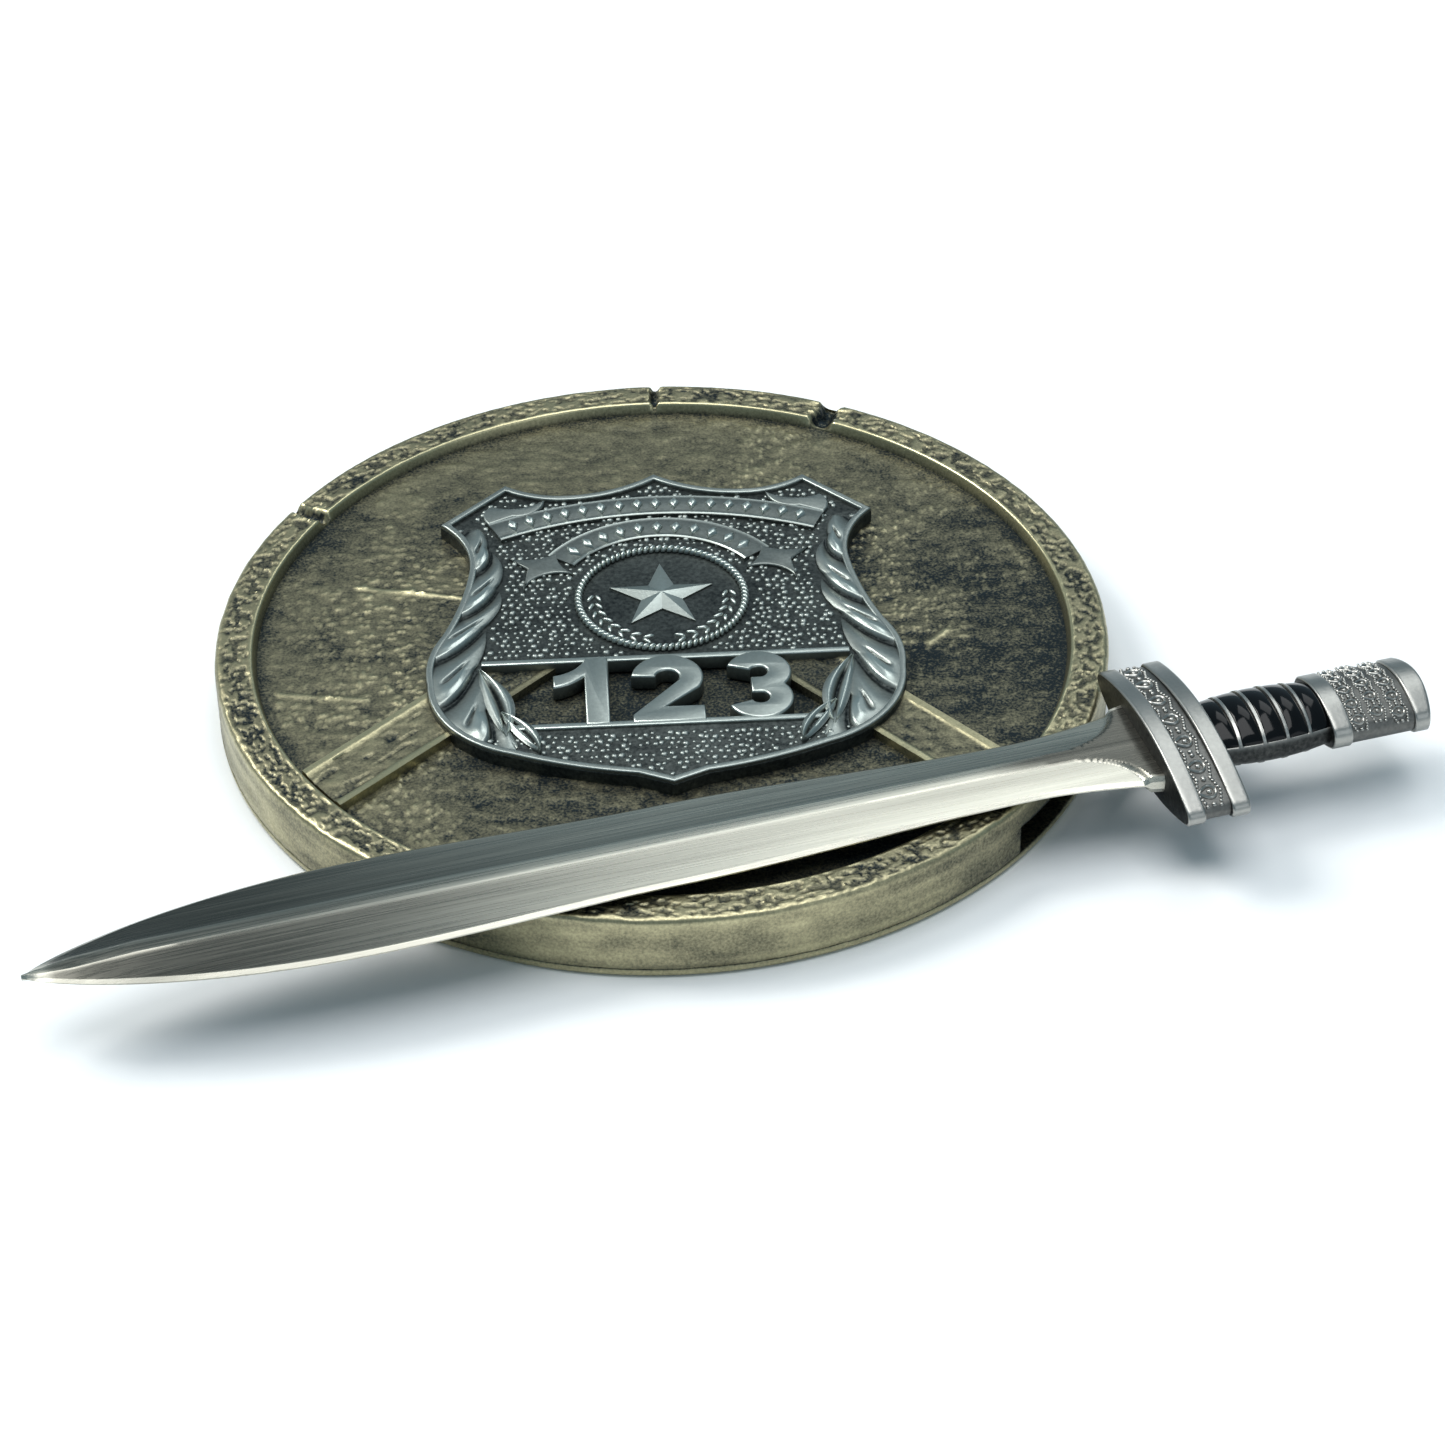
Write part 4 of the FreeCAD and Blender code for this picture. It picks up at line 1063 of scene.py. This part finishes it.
def digit_one(height, stroke):
    return outline([(0.6, 0), (0.6 + stroke, 0), (0.6 + stroke, height), (0.7, height),
                    ("arc", -0.2, height - 1.3), (-1.6, height - 1.9), (-1.6, height - 3.3),
                    ("arc", -0.4, height - 2.9), (0.6, height - 2.1)])


def digit_two(height, stroke):
    outer = 2.55
    bowl = (0, height - outer)
    return (arc(bowl, outer, 175, -30) + [(-0.25, stroke), (outer, stroke), (outer, 0), (-outer, 0),
            (-outer, 0.9)] + arc(bowl, outer - stroke, -30, 175))


def digit_three(height, stroke):
    outer = (height + stroke) / 4
    upper, lower = (0, height - outer), (0, outer)
    meet = math.degrees(math.asin((height / 2 - outer) / outer))
    return (arc(upper, outer, 160, -meet) + arc(lower, outer, meet, -160)
            + arc(lower, outer - stroke, -160, 90) + [(-0.6, lower[1] + outer - stroke),
            (-0.6, upper[1] - outer + stroke)] + arc(upper, outer - stroke, -90, 160))


class BADGE_OT_number(bpy.types.Operator):
    """Three bold digits that bridge the two rails of the window"""
    bl_idname = "badge.number"
    bl_label = "Number"

    def execute(self, context):
        metal = plating("antique_nickel")
        stroke = context.scene.badge_sizes.digit_stroke
        height = WINDOW_TOP_Y - WINDOW_LOW_Y - 0.1
        parts = []
        for column, digit in enumerate((digit_one, digit_two, digit_three)):
            shape = np.array(digit(height, stroke)) + [(column - 1) * 6.4, WINDOW_LOW_Y + 0.05]
            parts.append(plaque("digit", [shape], NUMBER_LOW_Z, NUMBER_HIGH_Z, 0.2, metal,
                                BADGE_PLACE, (0.1, 0.76)))
        for y, half in ((WINDOW_LOW_Y - 0.15, WINDOW_LOW_X + 0.25),
                        (WINDOW_TOP_Y - 0.4, WINDOW_TOP_X + 0.1)):
            bar = [(-half, y), (half, y), (half, y + 0.55), (-half, y + 0.55)]
            parts.append(plaque("bar", [bar], NUMBER_LOW_Z, NUMBER_HIGH_Z - 0.08, 0.14, metal,
                                BADGE_PLACE, (0.1, 0.85)))
        fit(joined("number_strip", parts), "coin", "antique_nickel", "badge_number")
        return {"FINISHED"}


class BADGE_OT_medallion(bpy.types.Operator):
    """Rope ring, star and laurel sprigs of the medallion"""
    bl_idname = "badge.medallion"
    bl_label = "Medallion"

    def execute(self, context):
        metal = plating("antique_nickel")
        radius = (RING_HIGH[0] - RING_LOW[0]) / 2 - context.scene.badge_sizes.rope_width / 2
        count = 84
        a = np.linspace(0, 2 * math.pi, count, endpoint=False)
        level = np.full(count, PLATE_Z + 0.1)
        spots = np.stack([radius * np.cos(a), RING_Y + radius * np.sin(a), level], 1)
        turns = np.stack([np.zeros(count), np.zeros(count), a + math.radians(90 + 48)], 1)
        strand = bead(0.2, 1.9, metal, 8, 4, 1.95)
        rope = repeated("rope_ring_strands", spots, turns, strand, metal, BADGE_PLACE)
        fit(rope, "coin", "antique_nickel", "rope_ring")

        star_r, waist, peak = 3.9, 0.4, 0.5
        points = [(0, RING_Y + 0.3, PLATE_Z + peak)]
        marks = [0.85]
        for level in (PLATE_Z + 0.12, PLATE_Z - 0.05):
            for step in range(10):
                size = star_r if step % 2 == 0 else star_r * waist
                t = math.radians(90 + 36 * step)
                points.append((size * math.cos(t), RING_Y + 0.3 + size * math.sin(t), level))
                marks.append(0.62 if level > PLATE_Z else 0.1)
        faces = [(0, 1 + k, 1 + (k + 1) % 10) for k in range(10)]
        faces += [(1 + k, 11 + k, 11 + (k + 1) % 10, 1 + (k + 1) % 10) for k in range(10)]
        faces.append(tuple(range(11, 21)))
        star = solid("star", points, faces, metal, BADGE_PLACE, marks, 12)
        fit(star, "coin", "antique_nickel", "centre_star")

        spots, turns = [], []
        for side in (1, -1):
            for number in range(8):
                t = math.radians(-90 + side * (14 + 11.5 * number))
                for lean in (0.55, -0.55):
                    reach_r = 4.85 + (0.28 if lean > 0 else -0.28)
                    spots.append((reach_r * math.cos(t), RING_Y + reach_r * math.sin(t), PLATE_Z))
                    turns.append((0, 0, t + side * (math.pi / 2 + lean)))
        leaf = bead(0.17, 1.2, metal, 8, 4, 2.6)
        sprigs = repeated("laurel_sprigs", spots, turns, leaf, metal, BADGE_PLACE)
        fit(sprigs, "coin", "antique_nickel", "centre_star")
        return {"FINISHED"}


def ribbon_relief(rise, bow):
    """A ribbon with thin raised hems and a gentle swell along its middle."""
    def relief(u, v, x, y):
        hem = np.exp(-((np.minimum(v, 1 - v) - 0.06) / 0.04) ** 2)
        height = rise + bow * np.sin(math.pi * v) + 0.07 * hem
        return height, np.clip(0.24 + 0.1 * np.sin(math.pi * v) + 0.62 * hem, 0, 1)
    return relief


class BADGE_OT_ribbons(bpy.types.Operator):
    """Upper scroll and lower swallow-tailed ribbon, with plain studs in place of words"""
    bl_idname = "badge.ribbons"
    bl_label = "Ribbons"

    def execute(self, context):
        metal = plating("antique_nickel")
        upper = (0, 13.6 - 27.1)
        parts = [strip("scroll", arc(upper, 27.1, 115, 65, 120), arc(upper, 29.4, 115, 65, 120), 22,
                       PLATE_Z - 0.1, ribbon_relief(0.36, 0.12), metal, BADGE_PLACE)]
        for side in (1, -1):
            fold = outline([(12.35, 13.0), ("arc", 12.75, 14.2), (12.2, 15.3), ("arc", 10.3, 14.9),
                            (8.2, 15.9), ("arc", 9.0, 14.3), (10.6, 13.9)])
            fold = [(x * side, y) for x, y in fold]
            parts.append(plaque("fold", [fold], PLATE_Z - 0.1, PLATE_Z + 0.4, 0.16, metal,
                                BADGE_PLACE, (0.06, 0.5)))
        fit(joined("scroll_ribbon", parts), "coin", "antique_nickel", "ribbon_upper")

        ring = (0, RING_Y)
        parts = [strip("band", arc(ring, 7.55, 145, 35, 120), arc(ring, 9.95, 145, 35, 120), 20,
                       PLATE_Z - 0.1, ribbon_relief(0.27, 0.08), metal, BADGE_PLACE)]
        for side in (1, -1):
            tail = outline([(6.3, 3.3 + RING_Y), ("arc", 7.3, 4.9 + RING_Y), (7.4, 6.0 + RING_Y),
                            ("arc", 9.0, 5.3 + RING_Y), (10.9, 5.5 + RING_Y), (9.6, 4.1 + RING_Y),
                            (9.9, 1.5 + RING_Y), ("arc", 8.7, 3.2 + RING_Y)])
            tail = [(x * side, y) for x, y in tail]
            parts.append(plaque("tail", [tail], PLATE_Z - 0.1, PLATE_Z + 0.24, 0.12, metal,
                                BADGE_PLACE, (0.06, 0.42)))
        fit(joined("tailed_ribbon", parts), "coin", "antique_nickel", "ribbon_lower")

        for name, node, centre, radius, level, angles in (
                ("scroll_studs", "ribbon_upper", upper, 28.25, 0.44, np.linspace(112, 68, 17)),
                ("band_studs", "ribbon_lower", ring, 8.6, 0.32, np.linspace(136, 44, 11))):
            spots = [(x, y, PLATE_Z + level - 0.1) for x, y in
                     [arc(centre, radius, t, t, 1)[0] for t in angles]]
            turns = [(0, 0, math.radians(t)) for t in angles]
            stud = bead(0.46, 0.7, metal, 4, 3, 1.6, 0.95)
            studs = repeated(name, spots, turns, stud, metal, BADGE_PLACE)
            fit(studs, "coin", "antique_nickel", node)
        return {"FINISHED"}


# ---------------------------------------------------------------- the sword
BLADE_W, SHOULDER_W, WAIST_W, ROOT_W = 9.5, 8.3, 6.1, 8.4
BEVEL_W = 0.3
PLUNGE_START, PLUNGE_END = 0.908, 0.986    # where the facets run out, by share of the length
TIP_HALF = 0.12
GROOVE = 0.09              # how hollow the facets are ground


def eased(start, end, part):
    return start + (end - start) * (1 - np.cos(math.pi * np.clip(part, 0, 1))) / 2


def blade_width(share):
    """Leaf outline by share of the blade's length: arch, belly, waist and flare."""
    width = BLADE_W * (1 - (1 - np.clip(share / 0.30, 0, 1)) ** 2) ** 0.78
    width = np.where(share > 0.30, eased(BLADE_W, SHOULDER_W, (share - 0.30) / 0.26), width)
    width = np.where(share > 0.56, eased(SHOULDER_W, WAIST_W, (share - 0.56) / 0.33), width)
    flare = WAIST_W + (ROOT_W - WAIST_W) * (np.clip(share - 0.89, 0, 1) / 0.11) ** 1.6
    return np.where(share > 0.89, flare, width)


class SWORD_OT_blade(bpy.types.Operator):
    """Leaf-shaped blade with a middle strip, flat facets and bevelled edges"""
    bl_idname = "sword.blade"
    bl_label = "Blade"

    def execute(self, context):
        sizes = context.scene.sword_sizes
        long = span("guard_front")[0]
        crown = half_thick("blade")
        stations = np.concatenate([np.linspace(0, 0.06, 14), np.linspace(0.07, 0.88, 90),
                                   np.linspace(0.8825, 1.0, 100)])
        strip_half = sizes.blade_strip / 2
        rows, marks = [], []
        for share in stations:
            half = max(float(blade_width(share)) / 2, TIP_HALF)
            thin = min(1.0, 0.3 + share / 0.14)
            flat = min(strip_half, 0.3 * half)
            bevel = min(BEVEL_W, 0.3 * half)
            facet = flat + (half - bevel - flat) * np.linspace(0, 1, 26) ** 0.8
            across = np.concatenate([[0.0], [flat * 0.7, flat * 0.92], facet, [half - bevel * 0.5, half]])
            drop = np.interp(across, [0, flat, half - bevel, half],
                             [crown, crown - 0.03, sizes.blade_edge / 2, 0.05])
            hollow = np.clip((across - flat) / (half - bevel - flat), 0, 1)
            groove = (GROOVE * hollow ** 0.35 * (1 - hollow)) * min(1.0, share / 0.1)
            aside = np.clip((across - flat) / (half - flat), 0, 1)
            plunge = PLUNGE_START + (PLUNGE_END - PLUNGE_START) * np.sqrt(1 - (1 - aside) ** 2)
            full = ramp(share, plunge - 0.004, plunge + 0.004)
            lift = np.where(across < half - bevel * 0.4, crown - 0.02, 0.3)
            height = ((drop - groove) * (1 - full) + np.maximum(lift, drop) * full) * thin
            side = np.stack([np.full(len(across), share * long), across, height], 1)
            top = np.concatenate([side[::-1], (side * [1, -1, 1])[1:]])
            under = (top * [1, 1, -1])[::-1]
            rows.append(np.concatenate([top, under]))
            # painted light: painted dark reflections towards the point and by the guard, and painted highlights
            # along the middle strip, the ridges and the edges; the same on both halves of the blade
            wear_and_shade = ramp(share, 0.12, 0.6)
            wear_and_sheen = 0.02 + 0.58 * wear_and_shade + 0.25 * hollow * wear_and_shade
            wear_and_sheen = wear_and_sheen + (0.15 + 0.15 * wear_and_shade) * (across <= flat * 1.2)
            # painted dark reflection on the flat by the guard and on the middle strip before it
            fade = np.maximum(full, (across <= flat * 1.2) * ramp(share, 0.83, 0.905))
            wear_and_sheen = wear_and_sheen * (1 - fade) + 0.06 * fade
            # painted highlights along the edge bevels and the ridge lines
            edge = across > half - bevel * 1.1
            wear_and_sheen = np.where(edge, 0.5 + 0.5 * wear_and_shade, wear_and_sheen)
            wear_and_sheen = wear_and_sheen + 0.3 * np.exp(-((across - flat) / 0.16) ** 2) * (1 - full)
            # painted glint at the very point
            point = 0.9 * (1 - ramp(share, 0.01, 0.03))
            mark = np.clip(np.concatenate([wear_and_sheen[::-1], wear_and_sheen[1:]]) + point, 0.03, 1)
            marks.append(np.concatenate([mark, mark[::-1]]))
        rings = np.array(rows)
        blade = loft("blade_leaf", rings, plating("brushed_nickel"), SWORD_PLACE, np.array(marks), 14)
        fit(blade, "sword", "brushed_nickel", "blade")
        return {"FINISHED"}


def lens_ring(s, half, middle, end, nose=0.4, count=26):
    """Section of a pointed-oval bar, with rounded ends."""
    across = half * np.sin(np.linspace(-math.pi / 2, math.pi / 2, count))
    rise = end + (middle - end) * (1 - (across / half) ** 2)
    tucked = np.clip((np.abs(across) - half + nose) / nose, 0, 1)
    rise = rise * np.sqrt(np.clip(1 - tucked ** 2, 0.0, 1))
    top = np.stack([np.full(count, s), across, rise], 1)
    return np.concatenate([top, (top * [1, 1, -1])[::-1][1:-1]])


def lens_bar(name, node, material, bevel=0.16, sink=0.0, wear_and_light=0.62, crown=0.0):
    """A pointed-oval bar in a CAD node's place, with rounded edges at both ends."""
    start, end = span(node)
    half, middle = half_across(node) - sink, half_thick(node) - sink
    tip = LENS_END[node.split("_")[0]]
    quarter = np.radians(np.linspace(0, 90, 5))
    places = [(start + bevel * (1 - math.sin(q)), bevel * (1 - math.cos(q))) for q in quarter[::-1]]
    places += [(s, 0.0) for s in np.linspace(start + bevel, end - bevel, 7)[1:-1]]
    places += [(end - bevel * (1 - math.sin(q)), bevel * (1 - math.cos(q))) for q in quarter]
    rings = np.array([lens_ring(s, half - i, middle - i, tip - i * 0.5) for s, i in places])
    if crown:
        last = (rings[..., 0] - start) / (end - start)
        rings[..., 0] -= crown * np.clip(last, 0, 1) * (rings[..., 1] / half) ** 2
    marks = np.full(rings.shape[:2], wear_and_light)
    # painted shade: the end face towards the blade's point is made darkest
    marks[0] = 0.05
    marks[-1] = 0.3
    return loft(name, rings, material, SWORD_PLACE, marks, 50)


LENS_END = {"guard": 0.45, "pommel": 0.6}


def eye_motif(metal, size=1.0):
    """A pointed loop with a bead in it, and a short chain of dots beside it."""
    loop = []
    turns = 18
    for step in range(turns):
        t = 2 * math.pi * step / turns
        reach_x = 0.42 * math.cos(t) - (0.22 * (max(0.0, -math.cos(t)) ** 6))
        loop.append((reach_x, 0.44 * math.sin(t)))
    points, faces, marks = [], [], []
    for step, (x, y) in enumerate(loop):
        ahead = np.array(loop[(step + 1) % turns]) - np.array(loop[step - 1])
        aside = np.array([ahead[1], -ahead[0]]) / np.linalg.norm(ahead)
        for k in range(5):
            q = math.pi * k / 4
            points.append((x + 0.13 * math.cos(q) * aside[0], y + 0.13 * math.cos(q) * aside[1],
                           0.2 * math.sin(q) - 0.03))
            marks.append(0.25 + 0.5 * math.sin(q))
    faces += grid_faces(turns, 5, wrap_rows=True)
    ring = solid("ring", np.array(points) * size, faces, metal, Matrix.Identity(4), marks)
    parts = [ring]
    chain = [(side * (0.46 + 0.3 * (1 - abs(k) / 4)), 0.26 * k, 0.13) for k in range(-4, 5)
             for side in (1, -1)]
    chain += [(0.0, 0.95, 0.17), (0.0, -0.95, 0.17)]
    for x, y, r in [(0.02, 0, 0.2)] + chain:
        dot = bead(r, 1.0, metal, 7, 3, 1.0, 0.7)
        dot.data.transform(Matrix.Translation((x * size, y * size, -0.02)) @ Matrix.Scale(size, 4))
        parts.append(dot)
    return joined("motif", parts)


def on_lens(half, middle, end, across, up=1):
    """Height and slope of a pointed-oval bar at a place across it."""
    rise = end + (middle - end) * (1 - (across / half) ** 2)
    slope = -2 * (middle - end) * across / half ** 2
    return up * rise, up * slope


class SWORD_OT_guard(bpy.types.Operator):
    """Two smooth bands with a stamped collar between them"""
    bl_idname = "sword.guard"
    bl_label = "Guard"

    def execute(self, context):
        metal = plating("antique_silver")
        for node in ("guard_front", "guard_rear"):
            fit(lens_bar(node + "_band", node, metal), "sword", "antique_silver", node)
        collar = lens_bar("guard_collar_core", "guard_collar", metal, 0.02, 0.12, 0.24)
        fit(collar, "sword", "antique_silver", "guard_collar")
        start, end = span("guard_collar")
        half, middle = half_across("guard_collar") - 0.12, half_thick("guard_collar") - 0.12
        pitch = context.scene.sword_sizes.motif_pitch
        spots, turns = [], []
        for up, most in ((1, 3), (-1, 2)):
            for number in range(-most, most + 1):
                across = number * pitch * (0.965 if abs(number) == 3 else 1.0)
                rise, slope = on_lens(half, middle, LENS_END["guard"], across, up)
                spots.append(((start + end) / 2 - 0.2, across, rise))
                turns.append((math.atan(slope) + (0 if up > 0 else math.pi), 0, 0))
        motifs = repeated("guard_collar_pattern", spots, turns, eye_motif(metal, 1.08), metal, SWORD_PLACE)
        fit(motifs, "sword", "antique_silver", "guard_collar")
        return {"FINISHED"}


def oval_ring(s, long_r, short_r, count=72):
    t = np.linspace(0, 2 * math.pi, count, endpoint=False)
    return np.stack([np.full(count, s), long_r * np.cos(t), short_r * np.sin(t)], 1)


RIBS = 4
RIB_L = 0.3
SIDE_RAIL = 0.88           # where the plain rail down each side of the grip starts
ENAMEL_DEPTH = 0.34
CELL_ROWS, CELL_COLUMNS = 26, 40
END_SHARE = 0.86


def barrel(s, start, end):
    """Swell of the grip at a place along it, against its middle."""
    part = (s - start) / (end - start)
    return END_SHARE + (1 - END_SHARE) * (1 - (2 * part - 1) ** 2)


class SWORD_OT_grip(bpy.types.Operator):
    """Ribbed metal grip with domed black enamel between its ribs"""
    bl_idname = "sword.grip"
    bl_label = "Grip"

    def execute(self, context):
        start, end = span("grip_core")
        half, thick = half_across("grip_core"), half_thick("grip_core")
        cell = (end - start - RIBS * RIB_L) / (RIBS + 1)
        rib_places = [start + cell * (k + 1) + RIB_L * (k + 0.5) for k in range(RIBS)]

        def skin(places, count, floor):
            rings, marks = [], []
            for s in places:
                swell = barrel(s, start, end)
                ring = oval_ring(s, half * swell, thick * swell, count)
                near_rib = min(abs(s - r) for r in rib_places)
                rib = 1 - ramp(np.array(near_rib), RIB_L * 0.35, RIB_L * 0.75)
                rail = ramp(np.abs(ring[:, 1]) / (half * swell), SIDE_RAIL, SIDE_RAIL + 0.05)
                up = np.maximum(rib, rail)
                share = 1 - floor * (1 - up) / thick
                ring[:, 1] *= np.where(rail > 0.5, 1.0, 1 - floor * (1 - up) / half)
                ring[:, 2] *= share
                lip = np.exp(-((np.abs(ring[:, 1]) / (half * swell) - SIDE_RAIL - 0.03) / 0.04) ** 2)
                rings.append(ring)
                marks.append(0.05 + 0.65 * np.maximum(rib * (1 - rail), 0.6 * lip))
            return np.array(rings), np.array(marks)

        core_rings, wear_and_light = skin(np.linspace(start, end, 150), 140, ENAMEL_DEPTH)
        core = loft("grip_core_ribs", core_rings, plating("antique_silver"), SWORD_PLACE, wear_and_light, 50)
        fit(core, "sword", "antique_silver", "grip_core")

        dome = context.scene.sword_sizes.enamel_dome
        numbers = np.arange(CELL_ROWS * CELL_COLUMNS).reshape(CELL_ROWS, CELL_COLUMNS)
        loop = np.concatenate([numbers[0], numbers[1:, -1], numbers[-1, -2::-1],
                               numbers[-2:0:-1, 0]]).tolist()
        glass = plating("black_enamel")
        cells = []
        borders = [start] + [r for p in rib_places for r in (p - RIB_L * 0.45, p + RIB_L * 0.45)] + [end]
        for number in range(RIBS + 1):
            low_s, high_s = borders[2 * number] + 0.01, borders[2 * number + 1] - 0.01
            for up in (1, -1):
                u, v = np.meshgrid(np.linspace(0, 1, CELL_ROWS), np.linspace(0, 1, CELL_COLUMNS),
                                   indexing="ij")
                s = low_s + (high_s - low_s) * u
                swell = barrel(s, start, end)
                t = np.arccos(np.clip((2 * v - 1) * (SIDE_RAIL + 0.03), -1, 1))
                bulge = (np.sin(math.pi * u) * np.sin(math.pi * v)) ** 0.45
                level = -0.2 + (0.14 + dome) * bulge
                y = half * swell * np.cos(t)
                z = (thick * swell + level) * np.sin(t)
                top = np.stack([s, y, up * z], -1)
                under = top.copy()
                under[..., 2] = up * np.maximum(np.abs(under[..., 2]) - 0.4, 0.1)
                points = np.concatenate([top.reshape(-1, 3), under.reshape(-1, 3)])
                faces = grid_faces(CELL_ROWS, CELL_COLUMNS)
                faces += [[k + numbers.size for k in reversed(face)] for face in faces]
                for a, b in zip(loop, loop[1:] + loop[:1]):
                    faces.append([a, b, b + numbers.size, a + numbers.size])
                cells.append(solid("cell", points, faces, glass, SWORD_PLACE, None, 60))
        fit(joined("grip_enamel_cells", cells), "sword", "black_enamel", "grip_enamel")
        return {"FINISHED"}


class SWORD_OT_pommel(bpy.types.Operator):
    """Plain collar, stamped block and crowned end band"""
    bl_idname = "sword.pommel"
    bl_label = "Pommel"

    def execute(self, context):
        metal = plating("antique_silver")
        fit(lens_bar("pommel_collar_band", "pommel_collar", metal, 0.14), "sword", "antique_silver",
            "pommel_collar")
        fit(lens_bar("pommel_end_band", "pommel_cap", metal, 0.2, crown=0.5), "sword",
            "antique_silver", "pommel_cap")
        fit(lens_bar("pommel_block", "pommel_body", metal, 0.02, 0.05, 0.24), "sword",
            "antique_silver", "pommel_body")
        start = span("pommel_body")[0]
        half, middle = half_across("pommel_body") - 0.05, half_thick("pommel_body") - 0.05
        spots, turns = [], []
        for up in (1, -1):
            for column in range(3):
                for row in ((-1.82, -0.95, 0, 0.95, 1.82) if up > 0 else (-1, 0, 1)):
                    across = row * 1.42 + (0.22 if column % 2 else -0.12)
                    rise, slope = on_lens(half, middle, LENS_END["pommel"], across, up)
                    spots.append((start + 0.62 + column * 1.5, across, rise))
                    turns.append((math.atan(slope) + (0 if up > 0 else math.pi), 0, 0))
        motifs = repeated("pommel_pattern", spots, turns, eye_motif(metal, 0.8), metal, SWORD_PLACE)
        fit(motifs, "sword", "antique_silver", "pommel_body")
        return {"FINISHED"}


# ---------------------------------------------------------------- stage
CAMERA_SPOT = (0.00422, -0.2285, 0.1751)
CAMERA_PITCH = math.radians(90 - 38.02)
CAMERA_ROLL = math.radians(-0.96)
CAMERA_LENS = 99.65


LAMPS = (("key", (-0.36, 0.16, 0.44), 0.24, 2.3, (1.0, 0.985, 0.95)),     # metres and watts
         ("top", (0.02, -0.05, 0.62), 0.45, 2.2, (1.0, 1.0, 1.0)),
         ("back", (0.24, 0.55, 0.74), 0.42, 1.15, (0.98, 1.0, 1.0)),
         ("front", (0.35, -0.40, 0.25), 0.30, 0.25, (0.96, 0.98, 1.0)))


def soft_light(name, spot, size, power, tint):
    """A square area light aimed at the middle of the floor."""
    lamp = bpy.data.lights.new(name, "AREA")
    lamp.shape = "SQUARE"
    lamp.size = size
    lamp.energy = power
    lamp.color = tint
    holder = bpy.data.objects.new(name, lamp)
    holder.location = spot
    holder.rotation_euler = (-Vector(spot)).to_track_quat("-Z", "Y").to_euler()
    bpy.context.scene.collection.objects.link(holder)


class STAGE_OT_studio(bpy.types.Operator):
    """Pale floor, soft lights and the camera"""
    bl_idname = "stage.studio"
    bl_label = "Studio"

    def execute(self, context):
        scene = context.scene
        reach_m = 1.5
        mesh = bpy.data.meshes.new("floor")
        mesh.from_pydata([(-reach_m, -reach_m, 0), (reach_m, -reach_m, 0), (reach_m, reach_m, 0),
                          (-reach_m, reach_m, 0)], [], [(0, 1, 2, 3)])
        show("floor", mesh, plating("studio_paper"))

        world = bpy.data.worlds.new("studio")
        world.use_nodes = True
        world.node_tree.nodes["Background"].inputs["Color"].default_value = linear("#B6D6E6")
        world.node_tree.nodes["Background"].inputs["Strength"].default_value = 0.4
        scene.world = world
        scene.view_settings.view_transform = "Standard"
        for lamp in LAMPS:
            soft_light(*lamp)

        camera = bpy.data.objects.new("camera", bpy.data.cameras.new("camera"))
        camera.data.lens = CAMERA_LENS
        camera.data.clip_start = 0.01
        camera.matrix_world = (Matrix.Translation(CAMERA_SPOT) @ Matrix.Rotation(CAMERA_PITCH, 4, "X")
                               @ Matrix.Rotation(CAMERA_ROLL, 4, "Z"))
        scene.collection.objects.link(camera)
        scene.camera = camera
        return {"FINISHED"}


# ---------------------------------------------------------------- add-on
MAKERS = (COIN_OT_rim, COIN_OT_field, COIN_OT_back, COIN_OT_pegs, BADGE_OT_plate, BADGE_OT_leaves,
          BADGE_OT_number, BADGE_OT_medallion, BADGE_OT_ribbons, SWORD_OT_blade, SWORD_OT_guard,
          SWORD_OT_grip, SWORD_OT_pommel, STAGE_OT_studio)
SETTINGS = (("coin_sizes", CoinSizes), ("badge_sizes", BadgeSizes), ("sword_sizes", SwordSizes),
            ("coin_finishes", Finishes))


class VIEW3D_PT_coin(bpy.types.Panel):
    """Buttons for each piece, and the sizes and colours they use"""
    bl_label = "Sword Challenge Coin"
    bl_space_type = "VIEW_3D"
    bl_region_type = "UI"
    bl_category = "Coin"

    def draw(self, context):
        for maker in MAKERS:
            self.layout.operator(maker.bl_idname)
        for name, group in SETTINGS:
            column = self.layout.column(align=True)
            for key in group.__annotations__:
                column.prop(getattr(context.scene, name), key)


def register():
    for name, group in SETTINGS:
        bpy.utils.register_class(group)
        setattr(bpy.types.Scene, name, bpy.props.PointerProperty(type=group))
    for entry in MAKERS + (VIEW3D_PT_coin,):
        bpy.utils.register_class(entry)


def unregister():
    for entry in reversed(MAKERS + (VIEW3D_PT_coin,)):
        bpy.utils.unregister_class(entry)
    for name, group in reversed(SETTINGS):
        delattr(bpy.types.Scene, name)
        bpy.utils.unregister_class(group)


def main():
    register()
    for maker in MAKERS:
        module, action = maker.bl_idname.split(".")
        getattr(getattr(bpy.ops, module), action)()


if __name__ == "__main__":
    main()
